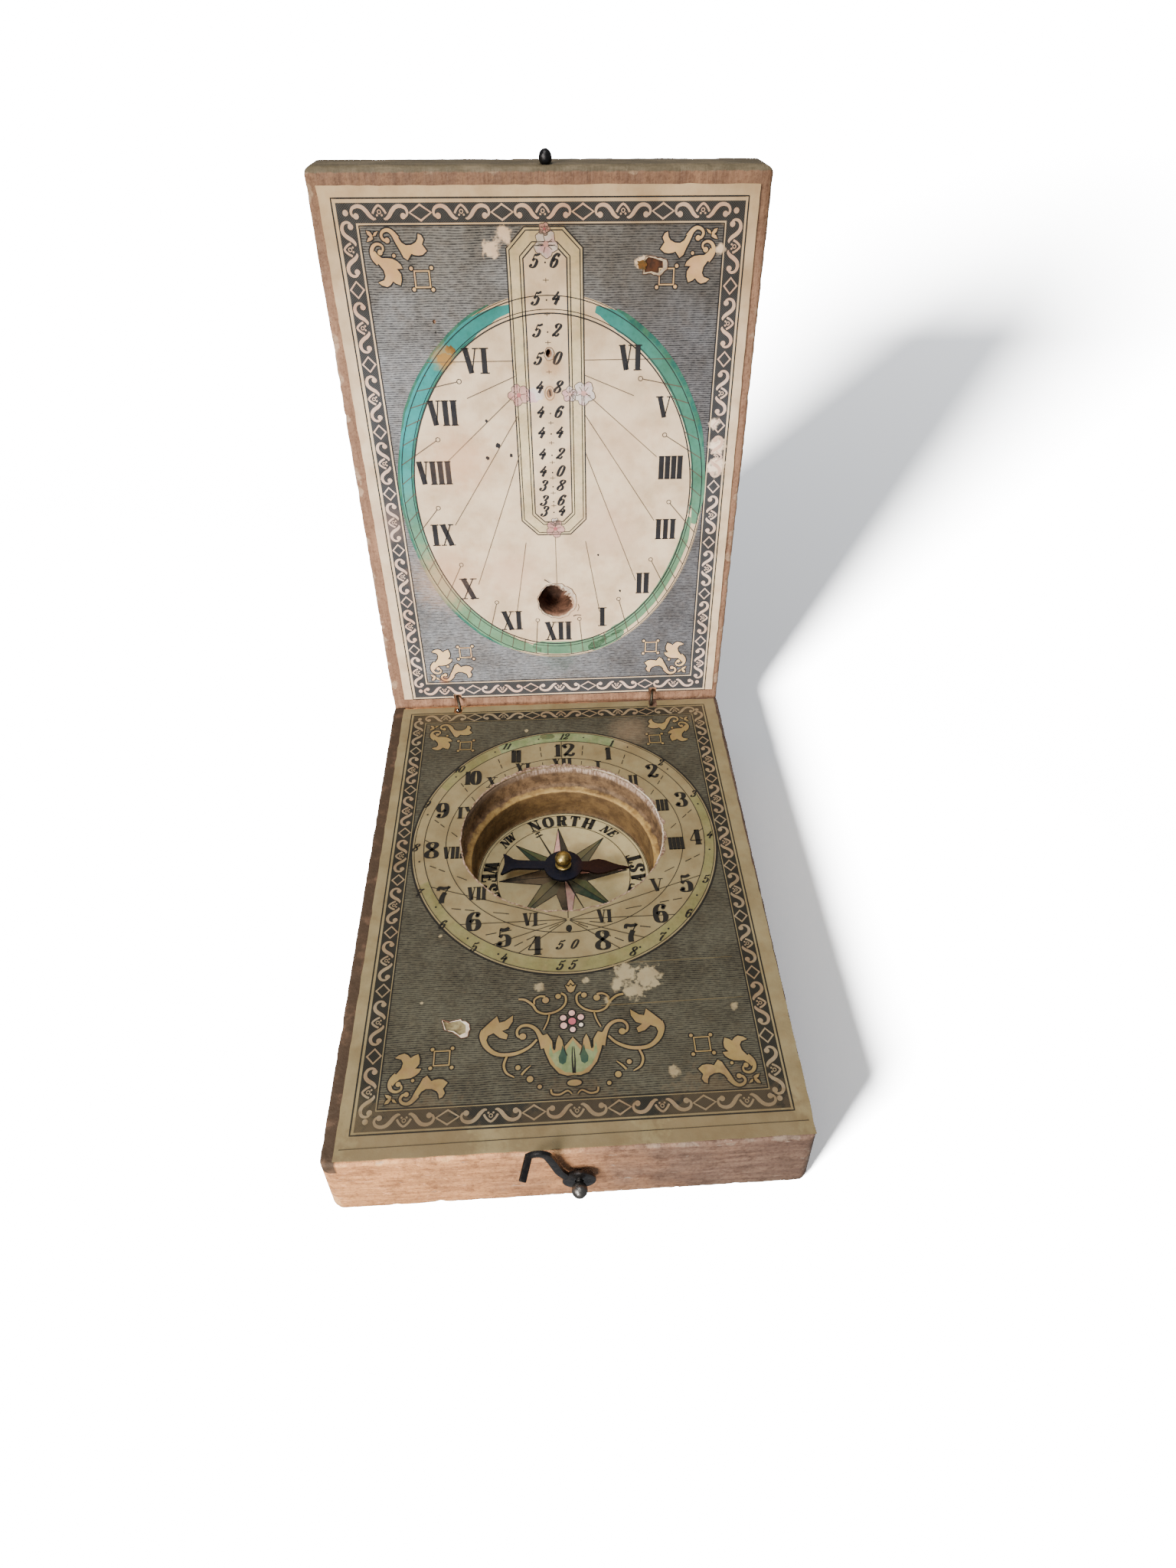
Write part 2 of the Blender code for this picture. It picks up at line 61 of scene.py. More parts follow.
HINGE = next(joint for joint in frame["joints"] if joint["name"] == "lid_hinge")
HINGE_AT = Vector(HINGE["pos_m"])
OPEN = radians(-HINGE["range_deg"][0])
PRINT_X = 0.35 * MM
LID_TURN = Matrix.Rotation(-OPEN, 4, "X")
LID_FRAME = Matrix.Translation(HINGE_AT) @ LID_TURN

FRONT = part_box("base_leaf")[0].y / MM
PAPER_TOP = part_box("base_dial_paper")[1].z
card_low, card_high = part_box("compass_card")
WELL = Vector(((card_low.x + card_high.x) / 2, (card_low.y + card_high.y) / 2, 0))
# Each layer of print lies this much higher, in millimetres, and its solids reach this many layers down.
LEVEL = 0.018
ROOT = 1.6 * LEVEL


def page_place(origin, across, up):
    """The matrix of a flat page: origin, then its x and y directions."""
    out = across.cross(up)
    turn = Matrix((across, up, out)).transposed().to_4x4()
    return Matrix.Translation(origin) @ turn


lid_up = (LID_TURN @ Vector((0, -1, 0))).normalized()
lid_out = (LID_TURN @ Vector((0, 0, -1))).normalized()
PAPER_FROM_HINGE = HINGE_AT.z - PAPER_TOP
LID_PLACE = page_place(
    HINGE_AT + Vector((PRINT_X, 0, 0)) - lid_up * PAPER_FROM_HINGE - lid_out * PAPER_FROM_HINGE,
    Vector((1, 0, 0)), lid_up)
BASE_PLACE = page_place(Vector((PRINT_X, HINGE_AT.y, PAPER_TOP)), Vector((1, 0, 0)), Vector((0, 1, 0)))
CARD_TURN = radians(3.6)
CARD_PLACE = page_place(Vector((WELL.x, WELL.y, card_high.z)), Vector((cos(CARD_TURN), sin(CARD_TURN), 0)),
                        Vector((-sin(CARD_TURN), cos(CARD_TURN), 0)))


# ---------------------------------------------------------------- shading helpers

class Shade:
    """Builds one material from nodes. Values are numbers, colours or the sockets of earlier nodes."""

    def __init__(self, name):
        self.material = bpy.data.materials.new(name)
        self.material.use_nodes = True
        self.tree = self.material.node_tree
        self.shader = self.tree.nodes["Principled BSDF"]

    def add(self, kind, inputs=None, **settings):
        made = self.tree.nodes.new(kind)
        for key, value in settings.items():
            setattr(made, key, value)
        for key, value in (inputs or {}).items():
            self.put(made.inputs[key], value)
        return made

    def put(self, socket, value):
        if isinstance(value, bpy.types.NodeSocket):
            self.tree.links.new(value, socket)
        elif isinstance(value, tuple) and len(value) == 3 and socket.type == "RGBA":
            socket.default_value = (*value, 1.0)
        else:
            socket.default_value = value

    def maths(self, operation, a, b=0.0, c=0.0):
        return self.add("ShaderNodeMath", {0: a, 1: b, 2: c}, operation=operation).outputs[0]

    def plus(self, a, b):
        return self.maths("ADD", a, b)

    def minus(self, a, b):
        return self.maths("SUBTRACT", a, b)

    def times(self, a, b):
        return self.maths("MULTIPLY", a, b)

    def mix(self, share, a, b, blend="MIX"):
        made = self.add("ShaderNodeMix", data_type="RGBA", blend_type=blend)
        for key, value in (("Factor_Float", share), ("A_Color", a), ("B_Color", b)):
            self.put(next(s for s in made.inputs if s.identifier == key), value)
        return next(s for s in made.outputs if s.identifier == "Result_Color")

    def place(self, scale=(1.0, 1.0, 1.0), offset=(0.0, 0.0, 0.0)):
        """The point's own place in millimetres, stretched and shifted."""
        source = self.add("ShaderNodeTexCoord").outputs["Object"]
        stretched = tuple(k / MM for k in scale)
        return self.add("ShaderNodeMapping",
                        {"Vector": source, "Scale": stretched, "Location": offset}).outputs[0]

    def noise(self, scale, detail=3.0, rough=0.55, where=None, warp=0.0):
        where = where or self.place()
        return self.add("ShaderNodeTexNoise", {
            "Vector": where, "Scale": scale, "Detail": detail, "Roughness": rough, "Distortion": warp,
        }).outputs["Fac"]

    def waver(self, amount, *noise):
        """Noise that goes as far below nought as above it."""
        return self.times(self.minus(self.noise(*noise), 0.5), amount)

    def step(self, value, low, high, a=0.0, b=1.0):
        return self.add("ShaderNodeMapRange", {
            "Value": value, "From Min": low, "From Max": high, "To Min": a, "To Max": b,
        }, interpolation_type="SMOOTHSTEP").outputs[0]

    def axes(self):
        split = self.add("ShaderNodeSeparateXYZ", {0: self.place()})
        return split.outputs[0], split.outputs[1], split.outputs[2]

    def away(self, x, y):
        """How far the point is from the upright line through (x, y)."""
        px, py, _ = self.axes()
        dx, dy = self.minus(px, x), self.minus(py, y)
        return self.maths("SQRT", self.plus(self.times(dx, dx), self.times(dy, dy)))

    def spot(self, x, y, radius, soft, wobble=0.35, grain=0.9):
        """A ragged blot round (x, y): 1 inside, 0 outside."""
        far = self.plus(self.away(x, y), self.waver(4 * wobble * radius, grain, 4.0))
        return self.step(far, radius - soft, radius + soft, 1.0, 0.0)

    def finish(self, colour, roughness, metallic=0.0, bump=None, depth=0.05, specular=None):
        self.put(self.shader.inputs["Base Color"], colour)
        self.put(self.shader.inputs["Roughness"], roughness)
        self.put(self.shader.inputs["Metallic"], metallic)
        if specular is not None:
            self.put(self.shader.inputs["Specular IOR Level"], specular)
        if bump is not None:
            raised = self.add("ShaderNodeBump", {"Height": bump, "Strength": 0.6, "Distance": depth * MM})
            self.put(self.shader.inputs["Normal"], raised.outputs[0])
        return self.material


def aged(shade, colour, stains, share_shown=1.0, dirt=(0.30, 0.21, 0.11)):
    """Paper's age over a printed colour: mottling, fibres, foxing and each page's own stains."""
    mottled = shade.mix(shade.step(shade.noise(0.16, 5.0), 0.35, 0.7, 0.0, 0.34), colour, dirt, "MULTIPLY")
    clouds = shade.noise(0.55, 4.0, where=shade.place(offset=(31, 7, 3)))
    cloudy = shade.mix(shade.step(clouds, 0.4, 0.75, 0.0, 0.22), mottled, (0.66, 0.42, 0.22), "MULTIPLY")
    fibres = shade.noise(1.0, 3.0, where=shade.place(scale=(5.5, 0.9, 1.0)))
    streaky = shade.mix(shade.step(fibres, 0.5, 0.8, 0.0, 0.12), cloudy, (0.45, 0.4, 0.36), "MULTIPLY")
    specks = shade.step(shade.noise(2.6, 2.0, where=shade.place(offset=(5, 50, 9))), 0.76, 0.8, 0.0, 0.55)
    out = shade.mix(specks, streaky, (0.13, 0.07, 0.03))
    for x, y, radius, soft, stain, strength in stains:
        share = shade.times(shade.spot(x, y, radius, soft), strength * share_shown)
        out = shade.mix(share, out, stain)
    return out


def paper_bump(shade):
    return shade.plus(shade.noise(0.35, 4.0), shade.times(shade.noise(3.5, 3.0), 0.3))


# Each wash is two colours that run into one another, then its clouds' scale, and where they begin and end.
WASHES = {
    "pool": ((0.020, 0.13, 0.11), (0.060, 0.20, 0.12)),
    "green": ((0.070, 0.095, 0.042), (0.11, 0.115, 0.05)),
    "deepgreen": ((0.022, 0.052, 0.036), (0.040, 0.070, 0.040)),
    "palegreen": ((0.15, 0.19, 0.085), (0.22, 0.24, 0.12)),
    "pink": ((0.62, 0.33, 0.30), (0.66, 0.42, 0.36)),
    "rose": ((0.42, 0.10, 0.13), (0.5, 0.17, 0.17)),
    "lilac": ((0.72, 0.44, 0.46), (0.74, 0.66, 0.62), 0.5, 0.38, 0.6),
    "torn": ((0.75, 0.66, 0.54), (0.52, 0.40, 0.31), 1.4),
    "fibre": ((0.38, 0.27, 0.20), (0.15, 0.09, 0.06), 2.2, 0.4, 0.6),
    "hollow": ((0.12, 0.045, 0.018), (0.05, 0.022, 0.012), 1.2),
    "bare": ((0.30, 0.25, 0.13), (0.16, 0.12, 0.06), 1.2),
    "rust": ((0.24, 0.11, 0.02), (0.11, 0.08, 0.025), 1.2),
}
# Tints are washes so thin that their colours are shares of the sheet's cream.
TINTS = {
    "tinge": ((0.80, 0.93, 0.72), (0.92, 1.0, 0.88), 0.3),
    "straw": ((0.88, 0.93, 0.80), (0.97, 1.0, 0.92)),
}


class Sheet:
    """The finishes of one printed page."""

    def __init__(self, name, cream, ink, ground, stains, scuffs, browned_and_shaded_from=None, painted_shade_right=0.0):
        self.name, self.cream, self.ink, self.painted_shade_right = name, cream, ink, painted_shade_right
        self.gap, self.rule = ground
        self.stains, self.scuffs, self.browned_and_shaded_from = stains, scuffs, browned_and_shaded_from
        self.made = {}

    def close(self, shade, colour, share_shown=1.0):
        """Age over the colour. From the given height up to its far edge the page darkens,
        partly real browning and partly painted shade where less light reaches the top.
        """
        colour = aged(shade, colour, self.stains, share_shown)
        if self.browned_and_shaded_from is not None:
            # Real browning and painted shade together: the page multiplied darker towards its top.
            _, y, _ = shade.axes()
            height = shade.plus(y, shade.waver(30.0, 0.07))
            colour = shade.mix(shade.step(height, self.browned_and_shaded_from, self.browned_and_shaded_from + 32.0), colour,
                (0.58, 0.52, 0.42), "MULTIPLY")
        return shade.finish(colour, shade.step(shade.noise(0.8), 0.3, 0.7, 0.62, 0.86),
            bump=paper_bump(shade), depth=0.08, specular=0.25)

    def worn(self, shade, colour, keep=0.0, fine=1.6):
        """The print rubbed away in scuffs and where the paper's grain stands high."""
        rubbed = shade.step(shade.noise(fine, 6.0, 0.7), 0.60 + keep, 0.74 + keep, 0.0, 0.75)
        bared = None
        for x, y, radius, soft in self.scuffs:
            torn = shade.spot(x, y, radius, 0.5 * soft, 0.7, 1.1)
            bared = shade.maths("MAXIMUM", bared, torn) if bared else torn
        colour = shade.mix(rubbed, colour, self.cream)
        return shade.mix(bared, colour, self.cream_times(1.35, 1.4, 1.6)) if bared else colour

    def get(self, kind):
        if kind not in self.made:
            shade = Shade(f"{self.name}_{kind}")
            if kind in WASHES:
                self.made[kind] = self.wash(shade, *WASHES[kind])
            elif kind in TINTS:
                one, other, *clouds = TINTS[kind]
                self.made[kind] = self.wash(shade, self.cream_times(*one), self.cream_times(*other), *clouds)
            else:
                self.made[kind] = getattr(self, "make_" + kind)(shade)
        return self.made[kind]

    def make_paper(self, shade):
        return self.close(shade, self.cream)

    def make_field(self, shade):
        """Fine ruled lines, as an engraver tints a ground."""
        x, y, _ = shade.axes()
        waver = shade.times(shade.noise(0.12, 2.0), 0.6)
        wave = shade.maths("SINE", shade.times(shade.plus(y, waver), 2 * pi / 0.34))
        ruled = shade.step(wave, -1.0, -0.1, 0.25, 1.0)
        grain = shade.step(shade.noise(1.0, 5.0, 0.8, where=shade.place(scale=(1.0, 2.6, 1.0))), 0.38, 0.66,
            1.0, 0.42)
        cloud = shade.step(shade.noise(0.08, 4.0), 0.35, 0.65, 0.86, 1.0)
        toned = shade.mix(shade.times(ruled, shade.times(grain, cloud)), self.gap, self.rule)
        # Painted shade: the ground multiplied darker towards the page's right.
        toned = shade.mix(shade.step(x, -4.0, 22.0, 0.0, self.painted_shade_right), toned, (0.60, 0.59, 0.60), "MULTIPLY")
        return self.close(shade, self.worn(shade, toned, 0.13), 0.6)

    def make_border(self, shade):
        """Two crossed rulings, nearly black."""
        x, y, _ = shade.axes()
        both = []
        for sign in (1.0, -1.0):
            along = shade.plus(x, shade.times(y, sign))
            wave = shade.maths("SINE", shade.times(along, 2 * pi / 0.34))
            both.append(shade.step(wave, -0.9, -0.2))
        ruled = shade.times(*both)
        press = shade.step(shade.noise(0.7, 5.0, 0.7), 0.35, 0.75, 1.0, 0.93)
        light = tuple(0.20 * c for c in self.gap)
        printed = shade.mix(shade.times(ruled, press), light, self.ink)
        return self.close(shade, self.worn(shade, printed, 0.12), 0.5)

    def make_ink(self, shade):
        return self.close(shade, self.worn(shade, self.ink, 0.05, 2.6), 0.1)

    def make_faint(self, shade):
        return self.close(shade, self.worn(shade, shade.mix(0.88, self.cream, self.ink), 0.06, 1.3), 0.4)

    def make_reserve(self, shade):
        """Ornament left in bare paper, washed unevenly with pink and straw."""
        pink = shade.mix(shade.step(shade.noise(0.09, 2.0), 0.42, 0.62, 0.1, 0.75),
            self.cream_times(1.0, 0.98, 1.2), self.cream_times(1.02, 0.84, 0.95))
        straw = shade.mix(shade.step(shade.noise(0.7, 2.0), 0.45, 0.65, 0.0, 0.5), pink,
            self.cream_times(1.02, 0.95, 0.95))
        return self.close(shade, straw)

    def make_bloom(self, shade):
        """Corner flowers in a yellower wash."""
        wash = shade.mix(shade.step(shade.noise(0.5, 3.0), 0.35, 0.7), self.cream_times(1.12, 1.0, 0.72),
            self.cream_times(1.12, 0.93, 0.80))
        return self.close(shade, wash)

    def cream_times(self, red, green, blue):
        return (self.cream[0] * red, self.cream[1] * green, self.cream[2] * blue)

    def wash(self, shade, one, other, scale=0.6, low=0.35, high=0.7, share=None):
        mixed = shade.mix(share or shade.step(shade.noise(scale, 4.0), low, high), one, other)
        pooled = shade.mix(shade.step(shade.noise(1.7, 3.0), 0.4, 0.8, 0.0, 0.45), mixed, (0.6, 0.68, 0.66),
            "MULTIPLY")
        return self.close(shade, pooled)

    def make_teal(self, shade):
        x, y, _ = shade.axes()
        low_down = shade.step(shade.plus(y, shade.times(shade.noise(0.3), 14.0)), 38.0, 62.0, 1.0, 0.0)
        # Bluer at the left and greener at the right, the wash's own hue, and darker at the right as painted
        # shade.
        upper = shade.mix(shade.step(x, 4.0, 22.0), (0.034, 0.29, 0.29), (0.060, 0.22, 0.155))
        return self.wash(shade, upper, (0.15, 0.30, 0.175), share=low_down)

    def make_crease(self, shade):
        """A fold rubbed pale."""
        return self.close(shade, self.worn(shade, self.cream_times(0.6, 0.58, 0.55), 0.0))

    def make_grey(self, shade):
        """Close hatching, as the rose's dark sides have."""
        x, y, _ = shade.axes()
        wave = shade.maths("SINE", shade.times(shade.plus(x, y), 2 * pi / 0.3))
        return self.close(shade, shade.mix(shade.step(wave, -0.8, 0.0), (0.075, 0.065, 0.042), self.ink))


# ---------------------------------------------------------------- drawing helpers

def smooth(points, per=5, closed=False):
    """A curve through the points."""
    count = len(points)
    out = []
    spans = count if closed else count - 1
    for i in range(spans):
        if closed:
            p = [Vector(points[(i + k) % count]) for k in (-1, 0, 1, 2)]
        else:
            p = [Vector(points[min(max(i + k, 0), count - 1)]) for k in (-1, 0, 1, 2)]
        for j in range(per):
            t = j / per
            out.append(0.5 * (2 * p[1] + (p[2] - p[0]) * t + (2 * p[0] - 5 * p[1] + 4 * p[2] - p[3]) * t * t
                              + (3 * p[1] - p[0] - 3 * p[2] + p[3]) * t ** 3))
    if not closed:
        out.append(Vector(points[-1]))
    return [tuple(v) for v in out]


def dense(points, longest=0.6, closed=False):
    """The same line with no part longer than that."""
    out = []
    pairs = list(zip(points, points[1:])) + ([(points[-1], points[0])] if closed else [])
    for a, b in pairs:
        parts = max(1, ceil(hypot(b[0] - a[0], b[1] - a[1]) / longest))
        out += [(a[0] + (b[0] - a[0]) * i / parts, a[1] + (b[1] - a[1]) * i / parts) for i in range(parts)]
    return out if closed else out + [tuple(points[-1])]


def inside(point, outline):
    """Whether the point is within the outline."""
    x, y = point
    odd = False
    for (ax, ay), (bx, by) in zip(outline, outline[1:] + outline[:1]):
        if (ay > y) != (by > y) and x < ax + (y - ay) / (by - ay) * (bx - ax):
            odd = not odd
    return odd


def middle_of(points):
    return sum(p[0] for p in points) / len(points), sum(p[1] for p in points) / len(points)


def oval(x, y, rx, ry, start=0.0, end=360.0, count=96):
    whole = abs(end - start) >= 360
    steps = count if whole else count + 1
    return [(x + rx * cos(radians(start + (end - start) * i / count)),
             y + ry * sin(radians(start + (end - start) * i / count))) for i in range(steps)]


def round_noise(angle, reach, seed):
    """Noise that comes back to where it began as the angle goes round."""
    return noise.noise(Vector((reach * cos(angle), reach * sin(angle), seed)))


def ragged(x, y, rx, ry, tear, count=40, seed=0.0):
    """A torn round outline."""
    out = []
    for i in range(count):
        a = 2 * pi * i / count
        k = 1 + tear * (round_noise(a, 3, seed) + 0.5 * round_noise(a, 9, seed))
        out.append((x + rx * k * cos(a), y + ry * k * sin(a)))
    return out


def neighbours(line, i, closed):
    """The points before and after one of a line's points. An open line's ends have themselves."""
    if closed:
        return line[i - 1], line[(i + 1) % len(line)]
    return line[max(i - 1, 0)], line[min(i + 1, len(line) - 1)]


class Page:
    """A sheet and everything printed on it, gathered into one object of thin solids."""

    def __init__(self, name, place, body, sheet, holes):
        self.name, self.place, self.body, self.sheet, self.holes = name, place, body, sheet, holes
        self.bm = bmesh.new()
        self.kinds = []

    def slot_of(self, kind):
        if kind not in self.kinds:
            self.kinds.append(kind)
        return self.kinds.index(kind)

    def solid(self, kind, level, points, faces, loops, foot):
        """A flat solid whose top faces are given, from the foot up to that level."""
        top = [self.bm.verts.new((x, y, level)) for x, y in points]
        low = [self.bm.verts.new((x, y, foot)) for x, y in points]
        slot = self.slot_of(kind)
        made = [[top[i] for i in face] for face in faces]
        made += [[low[i] for i in reversed(face)] for face in faces]
        for loop in loops:
            made += [[top[a], low[a], low[b], top[b]] for a, b in zip(loop, loop[1:] + loop[:1])]
        for corners in made:
            self.bm.faces.new(corners).material_index = slot

    def cut_away(self, point):
        return any(inside(point, hole) for hole in self.holes)

    def area(self, kind, layer, outline, holes=(), foot=None, keep_holes=True):
        """A filled outline. The page's holes that fall inside it are left open."""
        loops = [list(outline)] + [list(hole) for hole in holes]
        if keep_holes:
            loops += [hole for hole in self.holes if all(inside(p, loops[0]) for p in hole)
                      and not any(inside(hole[0], h) for h in holes)]
        flat = [point for loop in loops for point in loop]
        if not keep_holes and not holes and self.cut_away(middle_of(flat)):
            return
        triangles = tessellate_polygon([[Vector((x, y, 0)) for x, y in loop] for loop in loops])
        index, start = [], 0
        for loop in loops:
            index.append(list(range(start, start + len(loop))))
            start += len(loop)
        level = layer * LEVEL
        self.solid(kind, level, flat, [t for t in triangles if len(set(t)) == 3], index,
                   level - ROOT if foot is None else foot)

    def line(self, kind, layer, points, width, end_width=None, closed=False, widths=None):
        """A stroke of even or changing width. Where it crosses a hole it stops."""
        count = len(points)
        sides = []
        for i, (x, y) in enumerate(points):
            before, after = neighbours(points, i, closed)
            heading = atan2(after[1] - before[1], after[0] - before[0])
            share = i / max(count - 1, 1)
            last_width = width if end_width is None else end_width
            half = (widths[i] if widths else width + (last_width - width) * share) / 2
            out_x, out_y = half * sin(heading), half * cos(heading)
            sides.append(((x - out_x, y + out_y), (x + out_x, y - out_y)))
        runs, run = [], []
        order = list(range(count)) + ([0] if closed else [])
        for a, b in zip(order, order[1:]):
            middle = ((points[a][0] + points[b][0]) / 2, (points[a][1] + points[b][1]) / 2)
            if self.cut_away(middle):
                if run:
                    runs.append(run)
                run = []
            else:
                run = run + [b] if run else [a, b]
        if run:
            runs.append(run)
        level = layer * LEVEL
        for run in runs:
            if closed and len(run) == count + 1:
                n = count
                flat = [sides[i][0] for i in range(n)] + [sides[i][1] for i in range(n)]
                faces = [(i, n + i, n + (i + 1) % n, (i + 1) % n) for i in range(n)]
                loops = [list(range(n)), list(range(n, 2 * n))]
            else:
                n = len(run)
                flat = [sides[i][0] for i in run] + [sides[i][1] for i in run]
                faces = [(i, n + i, n + i + 1, i + 1) for i in range(n - 1)]
                loops = [list(range(n)) + list(range(2 * n - 1, n - 1, -1))]
            self.solid(kind, level, flat, faces, loops, level - ROOT)

    def dot(self, kind, layer, x, y, radius, count=14):
        if not self.cut_away((x, y)):
            self.area(kind, layer, oval(x, y, radius, radius, count=count), keep_holes=False)

    def ring(self, kind, layer, x, y, rx, ry, width, count=160):
        self.line(kind, layer, oval(x, y, rx, ry, count=count), width, closed=True)

    def reserve(self, kind, outline):
        """A light ornament with the engraver's dark edge round it."""
        self.line("ink", 2.6, outline, 0.44, closed=True)
        self.area(kind, 3.8, outline)

    def object(self):
        bmesh.ops.recalc_face_normals(self.bm, faces=self.bm.faces)
        mesh = bpy.data.meshes.new(self.name)
        self.bm.to_mesh(mesh)
        self.bm.free()
        mesh.transform(Matrix.Scale(MM, 4))
        for kind in self.kinds:
            mesh.materials.append(self.sheet.get(kind))
        made = bpy.data.objects.new(self.name, mesh)
        bpy.context.scene.collection.objects.link(made)
        made.matrix_world = self.place
        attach(made, self.body)
        return made


# ---------------------------------------------------------------- lettering

def head(left, right):
    """A hairline serif at the top of a sign."""
    return ("n", (left, 0.98), (right, 0.98))


def foot(left, right):
    """A hairline serif at its bottom."""
    return ("n", (left, 0.02), (right, 0.02))


def upright(x):
    return ("T", (x, 0), (x, 1))


